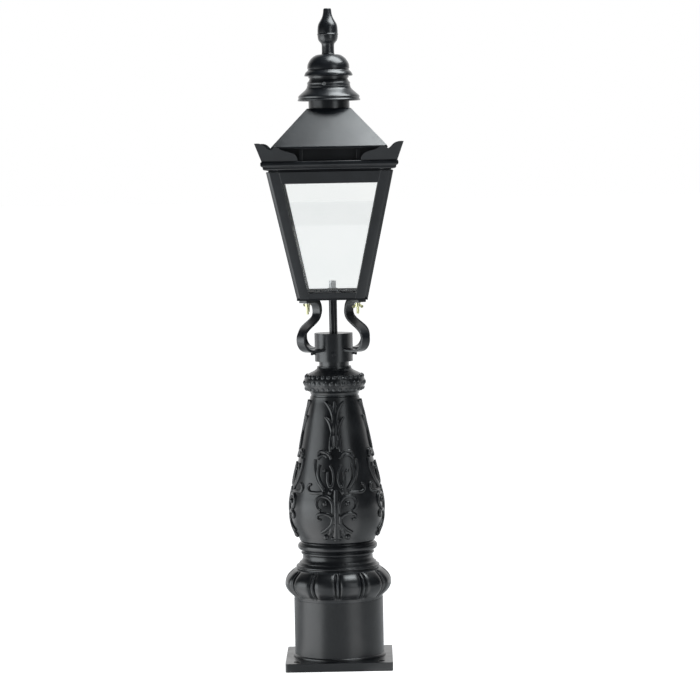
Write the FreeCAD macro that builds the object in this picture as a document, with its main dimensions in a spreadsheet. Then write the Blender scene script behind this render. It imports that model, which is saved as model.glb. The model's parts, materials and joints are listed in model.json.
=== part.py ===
import FreeCAD, Part
import math
import os
import re

import Sketcher
from FreeCAD import Placement, Rotation, Vector

# A post top lantern: a four-sided glazed lantern on a four-armed bracket, which sits
# on the spigot of a short cast post. The origin is the centre of the base plate's
# underside, +Z is up and the front looks along -Y. All sizes are millimetres.

SIZES = {
    # Base plate and plinth
    "plate_side": 235,
    "plate_thickness": 19,
    "plate_corner": 5,
    "plate_hole_radius": 30,
    "anchor_spacing": 185,
    "anchor_radius": 7,
    "plinth_radius": 98.5,
    "plinth_wall": 8,
    "plinth_height": 128,
    # Lobed ring on the plinth
    "ring_height": 66,
    "ring_bore": 80,
    "ring_rim_radius": 101.5,
    "ring_rim_height": 7,
    "lobe_count": 12,
    "lobe_centre_radius": 86,
    "lobe_centre_height": 34,
    "lobe_depth": 31,
    "lobe_width": 40,
    "lobe_height": 31,
    # Post casting
    "foot_radius": 94,
    "foot_height": 19,
    "foot_edge_height": 5,
    "foot_curve": 40,
    "cove_radius": 78.5,
    "cove_height": 13,
    "neck_ring_proud": 10,
    "neck_ring_height": 26,
    "neck_step": 2,
    "neck_height": 5,
    "belly_radius": 103.5,
    "belly_curve": 105,
    "belly_lower_radius": 87.5,
    "belly_lower_height": 13,
    "belly_mid_height": 68,
    "belly_upper_radius": 100,
    "belly_upper_height": 98,
    "shoulder_radius": 57.5,
    "shoulder_drop": 8,
    "post_top_radius": 53,
    "post_height": 386,
    "casting_wall": 9,
    "spigot_socket_depth": 40,
    "spigot_ledge": 5,
    "spigot_ledge_depth": 10,
    "spigot_ledge_slope": 10,
    # Scrolls and leaves cast on the four sides of the post
    "relief_half_width": 62,
    "relief_proud": 3,
    "relief_sink": 3,
    "relief_top_gap": 2,
    "relief_back": 40,
    "volute_radius": 19.5,
    "volute_bore": 12.5,
    "volute_reach": 26,
    "volute_height": 75,
    # Beaded collar at the head of the post
    "bead_foot_radius": 58.5,
    "bead_foot_height": 7,
    "bead_base_radius": 61.5,
    "bead_base_height": 12,
    "bead_height": 28,
    "bead_proud": 7.5,
    "bead_top_radius": 64,
    "bead_lip_radius": 38,
    "bead_lip_height": 58,
    "bead_collar_height": 62,
    # Spigot and the bracket's socket
    "spigot_radius": 33,
    "spigot_wall": 4,
    "spigot_show": 11,
    "socket_radius": 42,
    "socket_height": 62,
    "socket_cap": 5,
    "socket_gap": 0.3,
    "set_screw_radius": 3,
    "set_screw_head_radius": 4,
    "set_screw_head_length": 5,
    "set_screw_stand": 4,
    "set_screw_height": 17,
    "set_screw_count": 4,
    # Bracket arms
    "arm_width": 24,
    "arm_thickness": 6,
    "arm_root_height": 26,
    "arm_root_sink": 6,
    "arm_loop_radius": 26,
    "arm_loop_reach": 99,
    "arm_neck_radius": 22,
    "arm_neck_reach": 49,
    "arm_bend_radius": 13,
    "arm_drop": 25,
    "arm_flange_reach": 92,
    "arm_rise": 137.5,
    # Conduit up the middle
    "conduit_radius": 9,
    "conduit_wall": 2.5,
    "conduit_tail": 12,
    "conduit_rise": 22,
    "nipple_radius": 8,
    "nipple_bore": 4.5,
    "nipple_height": 16,
    "nipple_shoulder": 0.5,
    "nipple_relief": 1,
    "cap_nut_height": 9,
    "cap_nut_flats": 23,
    "floor_nut_height": 5,
    "floor_nut_flats": 27,
    "nipple_tail": 10,
    # Lantern frame
    "floor_thickness": 3,
    "lantern_foot_half": 77.5,
    "lantern_head_half": 137.3,
    "lantern_height": 278,
    "stile_width": 28,
    "stile_thickness": 3,
    "stile_chamfer": 7,
    "sill_rail_height": 21,
    "head_rail_height": 26,
    "rail_thickness": 10,
    "pane_thickness": 3,
    "pane_edge_gap": 1,
    "pane_inset": 9,
    "pane_bead_size": 6,
    # Cornice and its corner leaves
    "cornice_neck_inset": 5,
    "cornice_neck_height": 4,
    "cornice_overhang": 9.7,
    "cornice_height": 22.3,
    "cornice_lip_height": 8,
    "cornice_lip_proud": 1.5,
    "cornice_lip_round": 4,
    "cornice_ledge": 25.3,
    "leaf_thickness": 2.5,
    "leaf_lean": 15,
    "leaf_height": 40,
    "leaf_length": 78,
    "leaf_valley_reach": 17,
    "leaf_valley_height": 25,
    "leaf_bump_reach": 31,
    "leaf_bump_height": 30.5,
    "leaf_shoulder_reach": 50,
    "leaf_shoulder_height": 21.5,
    "leaf_end_height": 19,
    "leaf_end_round": 9,
    "leaf_setback": 1.5,
    "leaf_bump_round": 16,
    "leaf_tip_round": 45,
    # Roof and vent
    "vent_height": 26,
    "rest_width": 8,
    "rest_depth": 5,
    "rest_offset": 62,
    "rest_clear": 6,
    "roof_gap": 0.3,
    "frieze_inset": 19,
    "frieze_height": 17,
    "frieze_wall": 2,
    "roof_eave_inset": 21,
    "roof_eave_thickness": 4,
    "roof_height": 84,
    "roof_top_half": 48,
    "roof_wall": 3,
    "roof_opening_ledge": 1,
    # Chimney and caps
    "chimney_radius": 45,
    "chimney_wall": 2,
    "flare_rim_radius": 69,
    "flare_rim_height": 5,
    "flare_clear": 17,
    "flare_height": 28,
    "flare_curve": 24,
    "flare_wall": 3,
    "flare_ledge": 3,
    "band_radius": 48,
    "band_height": 22,
    "band_waist_radius": 44,
    "band_step_height": 13,
    "band_foot_height": 5,
    "band_middle_radius": 46,
    "band_wall": 4,
    "dome_rim_radius": 53,
    "dome_rim_height": 8,
    "dome_brim_height": 8,
    "dome_drum_radius": 46.5,
    "dome_drum_height": 28,
    "dome_round": 21,
    "dome_top_radius": 24.5,
    "dome_top_height": 51,
    "dome_wall": 3,
    "cap_screw_radius": 2.5,
    "cap_screw_head_radius": 4,
    "cap_screw_head_height": 2.5,
    "cap_screw_count": 3,
    # Finial
    "finial_stem_radius": 14.2,
    "finial_stem_height": 17,
    "finial_bulb_radius": 23,
    "finial_bulb_low": 39,
    "finial_bulb_high": 55,
    "finial_bulb_curve": 26,
    "finial_shoulder_radius": 17,
    "finial_shoulder_height": 71,
    "finial_neck_radius": 10.5,
    "finial_neck_height": 85,
    "finial_neck_curve": 18,
    "finial_tip_radius": 9.8,
    "finial_tip_round": 4,
    "finial_height": 100.5,
    # Roof hinge at the back
    "hinge_half_width": 45,
    "knuckle_radius": 4.5,
    "knuckle_gap": 0.4,
    "knuckle_offset": 5.5,
    "pin_radius": 2.5,
    "pin_clearance": 0.05,
    "hinge_leaf_thickness": 2.5,
    "hinge_leaf_length": 24,
    "hinge_foot": 12,
    # Studs and wing nuts under the lantern's corners
    "stud_offset": 55,
    "stud_radius": 3,
    "stud_length": 31,
    "stud_head_radius": 6,
    "stud_head_height": 3,
    "stud_hole_gap": 0.5,
    "washer_radius": 7,
    "washer_thickness": 1.2,
    "wing_nut_hub_radius": 5.5,
    "wing_nut_hub_height": 8,
    "wing_nut_gap": 0.3,
    "wing_nut_span": 12,
    "wing_nut_thickness": 2.4,
    "wing_nut_height": 12,
    "wing_nut_root": 1,
    "wing_nut_shoulder": 2,
    "wing_nut_tip_width": 4,
    "wing_nut_tip_chamfer": 2,
    "wing_nut_edge_height": 4,
    "running_clearance": 0.05,
    "fitting_gap": 0.1,
}

# Heights and widths that follow from the sizes above
LEVELS = {
    "plinth_z": "plate_thickness",
    "ring_z": "plinth_z + plinth_height",
    "post_z": "ring_z + ring_height",
    "cove_z": "post_z + foot_height",
    "neck_ring_z": "cove_z + cove_height",
    "neck_z": "neck_ring_z + neck_ring_height",
    "belly_z": "neck_z + neck_height",
    "neck_radius": "cove_radius + neck_step",
    "neck_ring_curve": "neck_ring_proud / 2 + neck_ring_height ^ 2 / (8 * neck_ring_proud)",
    "post_top_z": "post_z + post_height",
    "relief_z": "belly_z + belly_lower_height",
    "relief_height": "post_top_z - shoulder_drop - relief_top_gap - relief_z",
    "bead_chord": "sqrt(bead_height ^ 2 + (bead_top_radius - bead_base_radius) ^ 2)",
    "bead_curve": "bead_proud / 2 + bead_chord ^ 2 / (8 * bead_proud)",
    "socket_bottom_z": "post_top_z + bead_collar_height + spigot_show",
    "spigot_bottom_z": "post_top_z - spigot_socket_depth",
    "socket_top_z": "socket_bottom_z + socket_height",
    "arm_root_z": "socket_bottom_z + arm_root_height",
    "floor_z": "socket_bottom_z + arm_rise",
    "arm_flange_z": "floor_z - arm_thickness / 2",
    "arm_root_reach": "socket_radius - arm_root_sink",
    "set_screw_z": "socket_bottom_z + set_screw_height",
    "frame_z": "floor_z + floor_thickness",
    "sill_top_z": "frame_z + sill_rail_height",
    "frame_top_z": "frame_z + lantern_height",
    "head_rail_z": "frame_top_z - head_rail_height",
    "taper": "(lantern_head_half - lantern_foot_half) / lantern_height",
    "cornice_half": "lantern_head_half + cornice_overhang",
    "cornice_neck_half": "lantern_head_half - cornice_neck_inset",
    "cornice_opening_half": "lantern_head_half - cornice_ledge",
    "cornice_z": "frame_top_z",
    "cornice_top_z": "cornice_z + cornice_height",
    "roof_eave_half": "cornice_half - roof_eave_inset",
    "frieze_half": "roof_eave_half - frieze_inset",
    "roof_opening_half": "frieze_half - frieze_wall - roof_opening_ledge",
    "rest_setback": "frieze_half + rest_clear",
    "eave_z": "cornice_top_z + vent_height",
    "slope_z": "eave_z + roof_eave_thickness",
    "roof_top_z": "slope_z + roof_height",
    "flare_z": "roof_top_z + flare_clear",
    "flare_top_z": "flare_z + flare_height",
    "dome_z": "flare_top_z + band_height",
    "dome_top_z": "dome_z + dome_top_height",
    "pin_y": "roof_eave_half + knuckle_offset",
    "pin_z": "eave_z + roof_eave_thickness / 2",
    "leaf_slope": "leaf_lean / leaf_height",
    "roof_pitch": "(roof_eave_half - roof_top_half) / roof_height",
    "slope_length": "sqrt((roof_eave_half - roof_top_half) ^ 2 + roof_height ^ 2)",
    "cap_screw_z": "flare_top_z + (band_foot_height + band_step_height) / 2",
    "nut_z": "floor_z - arm_thickness - washer_thickness",
}

# Outlines of the cast relief on one side of the post: across and up, in hundredths of
# the relief's half width and height. Each of the first set has a twin across the middle,
# and the second set gives the right half of forms that stand on the middle.
SIDE_SCROLLS = {
    "Frame": [(74, 59), (81, 52), (76, 46), (61, 39), (39, 33), (32, 36), (52, 41),
              (65, 47), (69, 52), (65, 57)],
    "Horn": [(13, 56), (21, 61.5), (39, 64), (60, 63.5), (71, 59), (65, 57.5), (56, 60.5),
             (40, 60.5), (29, 58), (21, 54)],
    "Loop": [(32, 50), (32, 40), (20, 36.5), (7, 39), (7, 50), (14, 50), (14, 42), (20, 40),
             (24, 42), (24, 50)],
    "Curl": [(42, 32.5), (81, 32), (96, 33.5), (99, 37), (91, 40), (86, 38.5), (88, 36.5),
             (79, 35.3), (42, 35.5)],
}
MIDDLE_SCROLLS = {
    "Stem": [(10, 0.5), (26, 2), (25, 4), (12, 10), (10, 12), (10, 35.5)],
    "Plume": [(17, 64.5), (16, 70), (11, 75), (24, 83), (36, 88), (26, 88.5), (13, 85),
              (7, 85), (18, 92.5), (35, 99), (21, 98), (8, 94), (3, 99.5)],
}

CORNERS = ("front_right", "back_right", "back_left", "front_left")
SIDES = ("front", "right", "back", "left")
FOUR = "4"
QUARTER = 90
KNUCKLE_COUNT = 5
CAP_SCREW_TURN = -101
WING_NUT_TURN = 5

doc = FreeCAD.newDocument("post_top_lantern")
sheet = doc.addObject("Spreadsheet::Sheet", "Sizes")
nodes = []


def fill_sheet():
    """Write every driving size, then every level as a formula, each with its alias."""
    row = 1
    for alias, value in SIZES.items():
        sheet.set(f"A{row}", alias)
        sheet.set(f"B{row}", str(value))
        sheet.setAlias(f"B{row}", alias)
        row += 1
    for alias, formula in LEVELS.items():
        sheet.set(f"A{row}", alias)
        sheet.set(f"B{row}", "=" + formula)
        sheet.setAlias(f"B{row}", alias)
        row += 1
    doc.recompute()


def bound(expression):
    """The expression with each size's name pointing at its cell in the sheet."""
    def cell(found):
        name = found.group(0)
        return "Sizes." + name if name in SIZES or name in LEVELS else name
    return re.sub(r"[a-z][a-z0-9_]*", cell, expression)


def size(expression):
    """The expression's value in millimetres."""
    return float(sheet.evalExpression(bound(expression)))


def bind(thing, **properties):
    """Tie properties of an object to expressions, a double underscore standing for a dot."""
    for name, expression in properties.items():
        thing.setExpression(name.replace("__", "."), bound(expression))


def keep(thing, label, turn=0, across="0", along="0"):
    """Name a finished sub-part, turn it about the vertical, place it and list it."""
    thing.Label = label
    thing.Placement = Placement(Vector(), Rotation(Vector(0, 0, 1), turn))
    bind(thing, Placement__Base__x=across, Placement__Base__y=along)
    nodes.append(thing)


def new_body(name):
    """An empty body for one piece."""
    return doc.addObject("PartDesign::Body", name)


def origin_part(body, role):
    """A plane or axis of the body's own origin."""
    return next(part for part in body.Origin.OriginFeatures if part.Role == role)


def new_sketch(body, name, plane, offset="0"):
    """A sketch on one of the body's origin planes, moved along the plane's normal."""
    sketch = body.newObject("Sketcher::SketchObject", name)
    sketch.AttachmentSupport = [(origin_part(body, plane), "")]
    sketch.MapMode = "FlatFace"
    sketch.setExpression("AttachmentOffset.Base.z", bound(offset))
    return sketch


def arc_between(start, end, radius, side):
    """The short arc of a radius from start to end, its centre on the given side."""
    chord = end - start
    rise = math.sqrt(max(radius ** 2 - (chord.Length / 2) ** 2, 0))
    across = Vector(-chord.y, chord.x, 0).normalize()
    centre = (start + end) / 2 + across * rise * side
    first = math.atan2(start.y - centre.y, start.x - centre.x)
    last = math.atan2(end.y - centre.y, end.x - centre.x)
    if side < 0:
        first, last = last, first
    return Part.ArcOfCircle(Part.Circle(centre, Vector(0, 0, 1), radius), first, last)


def draw_outline(sketch, corners, arcs=None, first=0):
    """A closed outline through corners of two expressions. arcs gives, for the run that
    leaves a corner, its radius and side: 1 when the centre is on its left, else -1."""
    arcs = arcs or {}
    points = [Vector(size(across), size(up), 0) for across, up in corners]
    count = len(points)
    flipped = []
    for index, start in enumerate(points):
        end = points[(index + 1) % count]
        if index in arcs:
            radius, side = arcs[index]
            sketch.addGeometry(arc_between(start, end, size(radius), side))
            flipped.append(side < 0)
        else:
            sketch.addGeometry(Part.LineSegment(start, end))
            flipped.append(False)
    for index in range(count):
        after = (index + 1) % count
        tail = 1 if flipped[index] else 2
        head = 2 if flipped[after] else 1
        sketch.addConstraint(
            Sketcher.Constraint("Coincident", first + index, tail, first + after, head))
    for index, (across, up) in enumerate(corners):
        head = 2 if flipped[index] else 1
        for kind, text in (("DistanceX", across), ("DistanceY", up)):
            rule = sketch.addConstraint(
                Sketcher.Constraint(kind, -1, 1, first + index, head, size(text)))
            sketch.setExpression(f"Constraints[{rule}]", bound(text))
    for index, (radius, _side) in arcs.items():
        rule = sketch.addConstraint(
            Sketcher.Constraint("Radius", first + index, size(radius)))
        sketch.setExpression(f"Constraints[{rule}]", bound(radius))
    return first + count


def draw_circle(sketch, across, up, radius, first=0):
    """A circle whose centre and radius are expressions."""
    centre = Vector(size(across), size(up), 0)
    sketch.addGeometry(Part.Circle(centre, Vector(0, 0, 1), size(radius)))
    for kind, text in (("DistanceX", across), ("DistanceY", up)):
        rule = sketch.addConstraint(Sketcher.Constraint(kind, -1, 1, first, 3, size(text)))
        sketch.setExpression(f"Constraints[{rule}]", bound(text))
    rule = sketch.addConstraint(Sketcher.Constraint("Radius", first, size(radius)))
    sketch.setExpression(f"Constraints[{rule}]", bound(radius))
    return first + 1


def square(half):
    """The corners of a square about the origin."""
    return [(f"-({half})", f"-({half})"), (half, f"-({half})"),
            (half, half), (f"-({half})", half)]


def rectangle(left, right, low, high):
    """The corners of a rectangle between four expressions."""
    return [(left, low), (right, low), (right, high), (left, high)]


def pad(body, sketch, length, both_ways=False):
    """Material along a sketch's normal."""
    feature = body.newObject("PartDesign::Pad", "Pad")
    feature.Profile = sketch
    bind(feature, Length=length)
    if both_ways:
        feature.SideType = "Symmetric"
    doc.recompute()
    return feature


def pocket(body, sketch, depth=None):
    """A cut right through the body, or to a depth below the sketch."""
    before = body.Shape.Volume
    feature = body.newObject("PartDesign::Pocket", "Pocket")
    feature.Profile = sketch
    if depth:
        bind(feature, Length=depth)
    else:
        feature.Type = "ThroughAll"
        feature.SideType = "Symmetric"
    doc.recompute()
    if body.Shape.Volume >= before:
        raise RuntimeError(f"{body.Name}: the pocket cuts nothing")
    return feature


def polar(body, features, count):
    """Copies of some features about the body's vertical axis."""
    pattern = body.newObject("PartDesign::PolarPattern", "PolarPattern")
    pattern.Originals = features
    pattern.Axis = (origin_part(body, "Z_Axis"), [""])
    pattern.Angle = 360
    bind(pattern, Occurrences=count)
    body.Tip = pattern
    doc.recompute()
    return pattern


def turned(label, corners, arcs=None):
    """A piece turned about the vertical axis: each corner is a radius and a height."""
    body = new_body(label)
    sketch = new_sketch(body, "Outline", "XZ_Plane")
    draw_outline(sketch, corners, arcs)
    feature = body.newObject("PartDesign::Revolution", "Revolution")
    feature.Profile = sketch
    feature.ReferenceAxis = (sketch, ["V_Axis"])
    feature.Angle = 360
    doc.recompute()
    return body


def lofted(body, low_corners, low_z, high_corners, high_z, cut=False):
    """Straight walls between an outline at one height and its like at another."""
    low = new_sketch(body, "LowOutline", "XY_Plane", low_z)
    draw_outline(low, low_corners)
    high = new_sketch(body, "HighOutline", "XY_Plane", high_z)
    draw_outline(high, high_corners)
    kind = "PartDesign::SubtractiveLoft" if cut else "PartDesign::AdditiveLoft"
    feature = body.newObject(kind, "Loft")
    feature.Profile = low
    feature.Sections = [high]
    feature.Ruled = True
    doc.recompute()
    return feature


def half_at(level):
    """The half width of the tapered lantern at a height."""
    return f"(lantern_foot_half + taper * ({level} - frame_z))"


def base_plate():
    """The square foot plate with its anchor holes and the hole for the supply cable."""
    body = new_body("base_plate")
    outline = new_sketch(body, "Outline", "XY_Plane")
    draw_outline(outline, square("plate_side / 2"))
    plate = pad(body, outline, "plate_thickness")
    upright = [f"Edge{number}" for number, edge in enumerate(body.Shape.Edges, 1)
               if abs(edge.BoundBox.ZLength - size("plate_thickness")) < 0.01]
    rounding = body.newObject("PartDesign::Fillet", "Corners")
    rounding.Base = (plate, upright)
    bind(rounding, Radius="plate_corner")
    doc.recompute()
    cable = new_sketch(body, "CableHole", "XY_Plane")
    draw_circle(cable, "0", "0", "plate_hole_radius")
    pocket(body, cable)
    anchor = new_sketch(body, "AnchorHole", "XY_Plane")
    draw_circle(anchor, "anchor_spacing / 2", "anchor_spacing / 2", "anchor_radius")
    polar(body, [pocket(body, anchor)], FOUR)
    keep(body, "base_plate")


def plinth_tube():
    """The round plinth that stands on the plate."""
    body = turned("plinth_tube", rectangle("plinth_radius - plinth_wall", "plinth_radius",
                                           "plinth_z", "ring_z"))
    keep(body, "plinth_tube")


def gadroon_ring():
    """The ring of round lobes between the plinth and the post."""
    core = doc.addObject("Part::Cylinder", "RingCore")
    bind(core, Radius="plinth_radius", Height="ring_height", Placement__Base__z="ring_z")
    rim = doc.addObject("Part::Cylinder", "RingRim")
    bind(rim, Radius="ring_rim_radius", Height="ring_rim_height",
         Placement__Base__z="post_z - ring_rim_height")
    lobes = []
    count = int(size("lobe_count"))
    for index in range(count):
        angle = 360 * (index + 0.5) / count
        lobe = doc.addObject("Part::Ellipsoid", f"Lobe{index + 1}")
        bind(lobe, Radius1="lobe_height", Radius2="lobe_depth", Radius3="lobe_width")
        lobe.Placement = Placement(Vector(), Rotation(Vector(0, 0, 1), angle))
        bind(lobe, Placement__Base__x=f"lobe_centre_radius * cos({angle} deg)",
             Placement__Base__y=f"lobe_centre_radius * sin({angle} deg)",
             Placement__Base__z="ring_z + lobe_centre_height")
        lobes.append(lobe)
    whole = doc.addObject("Part::MultiFuse", "RingWhole")
    whole.Shapes = [core, rim] + lobes
    bore = doc.addObject("Part::Cylinder", "RingBore")
    bind(bore, Radius="ring_bore", Height="ring_height", Placement__Base__z="ring_z")
    ring = doc.addObject("Part::Cut", "gadroon_ring")
    ring.Base = whole
    ring.Tool = bore
    doc.recompute()
    keep(ring, "gadroon_ring")


def relief_side(index, skin):
    """The scrolls of one side: their outlines, pushed out to the skin of the relief."""
    body = new_body(f"Scrolls{index + 1}")
    body.Placement = Placement(Vector(), Rotation(Vector(0, 0, 1), QUARTER * index))
    outlines = []
    for corners in SIDE_SCROLLS.values():
        outlines += [corners, [(-across, up) for across, up in corners]]
    for corners in MIDDLE_SCROLLS.values():
        outlines.append(corners + [(-across, up) for across, up in reversed(corners)])
    for corners in outlines:
        sketch = new_sketch(body, "Scroll", "XZ_Plane", "relief_back")
        draw_outline(sketch, [(f"relief_half_width * {across} / 100",
                               f"relief_z + relief_height * {up} / 100")
                              for across, up in corners])
        pad(body, sketch, "belly_radius")
    for sign in ("", "-"):
        sketch = new_sketch(body, "Volute", "XZ_Plane", "relief_back")
        centre = f"{sign}volute_reach"
        after = draw_circle(sketch, centre, "relief_z + volute_height", "volute_radius")
        draw_circle(sketch, centre, "relief_z + volute_height", "volute_bore", first=after)
        pad(body, sketch, "belly_radius")
    scrolls = doc.addObject("Part::MultiCommon", f"Relief{index + 1}")
    scrolls.Shapes = [body, skin]
    doc.recompute()
    return scrolls


def post_casting():
    """The vase-shaped post with its neck ring, hollow for the supply cable."""
    outside = [
        ("foot_radius", "post_z"),
        ("foot_radius", "post_z + foot_edge_height"),
        ("cove_radius", "cove_z"),
        ("cove_radius", "neck_ring_z"),
        ("cove_radius", "neck_z"),
        ("neck_radius", "neck_z"),
        ("neck_radius", "belly_z"),
        ("belly_lower_radius", "belly_z + belly_lower_height"),
        ("belly_radius", "belly_z + belly_mid_height"),
        ("belly_upper_radius", "belly_z + belly_upper_height"),
        ("shoulder_radius", "post_top_z - shoulder_drop"),
        ("post_top_radius", "post_top_z"),
    ]
    arcs = {
        1: ("foot_curve", -1),
        3: ("neck_ring_curve", 1),
        7: ("belly_curve", 1),
        8: ("belly_curve", 1),
    }
    ledge_z = "spigot_bottom_z - spigot_ledge_depth"
    inside = [
        ("spigot_radius", "post_top_z"),
        ("spigot_radius", "spigot_bottom_z"),
        ("spigot_radius - spigot_ledge", "spigot_bottom_z"),
        ("spigot_radius - spigot_ledge", ledge_z),
        ("shoulder_radius - casting_wall", f"{ledge_z} - spigot_ledge_slope"),
        ("belly_upper_radius - casting_wall", "belly_z + belly_upper_height"),
        ("neck_radius - casting_wall", "belly_z"),
        ("neck_radius - casting_wall", "post_z"),
    ]
    plain = turned("PlainCasting", outside + inside, arcs)
    relief_skin = turned("ReliefSkin", [
        ("belly_lower_radius - relief_sink", "relief_z"),
        ("belly_lower_radius + relief_proud", "relief_z"),
        ("belly_radius + relief_proud", "belly_z + belly_mid_height"),
        ("belly_upper_radius + relief_proud", "belly_z + belly_upper_height"),
        ("shoulder_radius + relief_proud", "post_top_z - shoulder_drop"),
        ("shoulder_radius - relief_sink", "post_top_z - shoulder_drop"),
        ("belly_upper_radius - relief_sink", "belly_z + belly_upper_height"),
        ("belly_radius - relief_sink", "belly_z + belly_mid_height"),
    ], {1: ("belly_curve", 1), 2: ("belly_curve", 1)})
    whole = doc.addObject("Part::MultiFuse", "post_casting")
    whole.Shapes = [plain] + [relief_side(index, relief_skin) for index in range(int(FOUR))]
    doc.recompute()
    keep(whole, "post_casting")


def bead_collar():
    """The collar with its fat bead, which closes the top of the post."""
    outside = [
        ("spigot_radius", "post_top_z"),
        ("post_top_radius", "post_top_z"),
        ("bead_foot_radius", "post_top_z + bead_foot_height"),
        ("bead_base_radius", "post_top_z + bead_base_height"),
        ("bead_top_radius", "post_top_z + bead_base_height + bead_height"),
        ("bead_lip_radius", "post_top_z + bead_lip_height"),
        ("bead_lip_radius", "post_top_z + bead_collar_height"),
        ("spigot_radius", "post_top_z + bead_collar_height"),
    ]
    arcs = {3: ("bead_curve", 1)}
    keep(turned("bead_collar", outside, arcs), "bead_collar")


def spigot_tube():
    """The tube that the post casting holds and the bracket's socket drops over."""
    body = turned("spigot_tube", rectangle(
        "spigot_radius - spigot_wall", "spigot_radius",
        "spigot_bottom_z", "socket_top_z - socket_cap"))
    keep(body, "spigot_tube")


def frog_socket():
    """The bracket's socket: a capped sleeve with a hole for each set screw."""
    inner = "spigot_radius + socket_gap"
    hub = "conduit_radius + fitting_gap"
    body = turned("frog_socket", [
        (inner, "socket_bottom_z"),
        ("socket_radius", "socket_bottom_z"),
        ("socket_radius", "socket_top_z"),
        (hub, "socket_top_z"),
        (hub, "socket_top_z - socket_cap"),
        (inner, "socket_top_z - socket_cap"),
    ])
    hole = new_sketch(body, "SetScrewHole", "YZ_Plane", "socket_radius")
    draw_circle(hole, "0", "set_screw_z", "set_screw_radius + fitting_gap")
    polar(body, [pocket(body, hole, "socket_radius")], "set_screw_count")
    keep(body, "frog_socket")


def radial_screws(label, count, height, reach, radius, head_reach, head_radius,
                  head_length, turn=0):
    """Screws that point at the vertical axis: one is made along +X, then copied."""
    body = new_body(label)
    shank = new_sketch(body, "Shank", "YZ_Plane", reach)
    draw_circle(shank, "0", height, radius)
    head = new_sketch(body, "Head", "YZ_Plane", head_reach)
    draw_circle(head, "0", height, head_radius)
    made = [pad(body, shank, f"{head_reach} - ({reach})"), pad(body, head, head_length)]
    polar(body, made, count)
    keep(body, label, turn)


def draw_arm_path(sketch):
    """The S-shaped centre line of an arm, from the socket out, up and under the lantern:
    a root, the wide loop, a slant, the narrow neck, a rise, a bend and the flange."""
    up = Vector(0, 0, 1)
    loop_radius = size("arm_loop_radius")
    neck_radius = size("arm_neck_radius")
    bend_radius = size("arm_bend_radius")
    flange = size("arm_flange_z")
    reach = size("arm_neck_reach")
    loop = Vector(size("arm_loop_reach") - loop_radius, size("arm_root_z") + loop_radius, 0)
    neck = Vector(reach + neck_radius, flange - size("arm_drop"), 0)
    bend = Vector(reach + bend_radius, flange - bend_radius, 0)
    between = neck - loop
    swing = math.acos((loop_radius + neck_radius) / between.Length)
    facing = math.atan2(between.y, between.x) - swing
    away = Vector(math.cos(facing), math.sin(facing), 0)
    slant_low = loop + away * loop_radius
    slant_high = neck - away * neck_radius
    root = Vector(size("arm_root_reach"), size("arm_root_z"), 0)
    tip = Vector(size("arm_flange_reach"), flange, 0)
    below_loop = loop - Vector(0, loop_radius, 0)
    left_of_neck = neck - Vector(neck_radius, 0, 0)
    left_of_bend = bend - Vector(bend_radius, 0, 0)
    above_bend = bend + Vector(0, bend_radius, 0)
    half_turn = math.pi
    sketch.addGeometry([
        Part.LineSegment(root, below_loop),
        Part.ArcOfCircle(Part.Circle(loop, up, loop_radius), -half_turn / 2, facing),
        Part.LineSegment(slant_low, slant_high),
        Part.ArcOfCircle(Part.Circle(neck, up, neck_radius), half_turn, facing + half_turn),
        Part.LineSegment(left_of_neck, left_of_bend),
        Part.ArcOfCircle(Part.Circle(bend, up, bend_radius), half_turn / 2, half_turn),
        Part.LineSegment(above_bend, tip),
    ])
    joints = [(0, 2, 1, 1), (1, 2, 2, 1), (2, 2, 3, 2), (3, 1, 4, 1), (4, 2, 5, 2), (5, 1, 6, 1)]
    for joint in joints:
        sketch.addConstraint(Sketcher.Constraint("Tangent", *joint))
    sketch.addConstraint([Sketcher.Constraint("Horizontal", 0),
                          Sketcher.Constraint("Vertical", 4),
                          Sketcher.Constraint("Horizontal", 6)])
    driven = [
        ("DistanceX", (-1, 1, 0, 1), "arm_root_reach"),
        ("DistanceY", (-1, 1, 0, 1), "arm_root_z"),
        ("DistanceX", (-1, 1, 1, 3), "arm_loop_reach - arm_loop_radius"),
        ("DistanceY", (-1, 1, 3, 3), "arm_flange_z - arm_drop"),
        ("DistanceX", (-1, 1, 4, 1), "arm_neck_reach"),
        ("DistanceX", (-1, 1, 6, 2), "arm_flange_reach"),
        ("DistanceY", (-1, 1, 6, 2), "arm_flange_z"),
        ("Radius", (1,), "arm_loop_radius"),
        ("Radius", (3,), "arm_neck_radius"),
        ("Radius", (5,), "arm_bend_radius"),
    ]
    for kind, places, text in driven:
        rule = sketch.addConstraint(Sketcher.Constraint(kind, *places, size(text)))
        sketch.setExpression(f"Constraints[{rule}]", bound(text))


def frog_arm(label, turn):
    """One flat bar of the bracket, bent in an S, fitted round the socket at its root
    and drilled at its flange for the lantern's stud."""
    body = new_body(label)
    path = new_sketch(body, "Path", "XZ_Plane")
    draw_arm_path(path)
    section = new_sketch(body, "Section", "YZ_Plane", "arm_root_reach")
    draw_outline(section, rectangle(
        "-arm_width / 2", "arm_width / 2",
        "arm_root_z - arm_thickness / 2", "arm_root_z + arm_thickness / 2"))
    doc.recompute()
    bar = body.newObject("PartDesign::AdditivePipe", "Bar")
    bar.Profile = section
    bar.Spine = path
    doc.recompute()
    seat = new_sketch(body, "SocketSeat", "XY_Plane")
    draw_circle(seat, "0", "0", "socket_radius")
    pocket(body, seat)
    hole = new_sketch(body, "StudHole", "XY_Plane", "floor_z")
    draw_circle(hole, "stud_offset * sqrt(2)", "0", "stud_radius + stud_hole_gap")
    pocket(body, hole, "arm_thickness")
    keep(body, label, turn)


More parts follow.
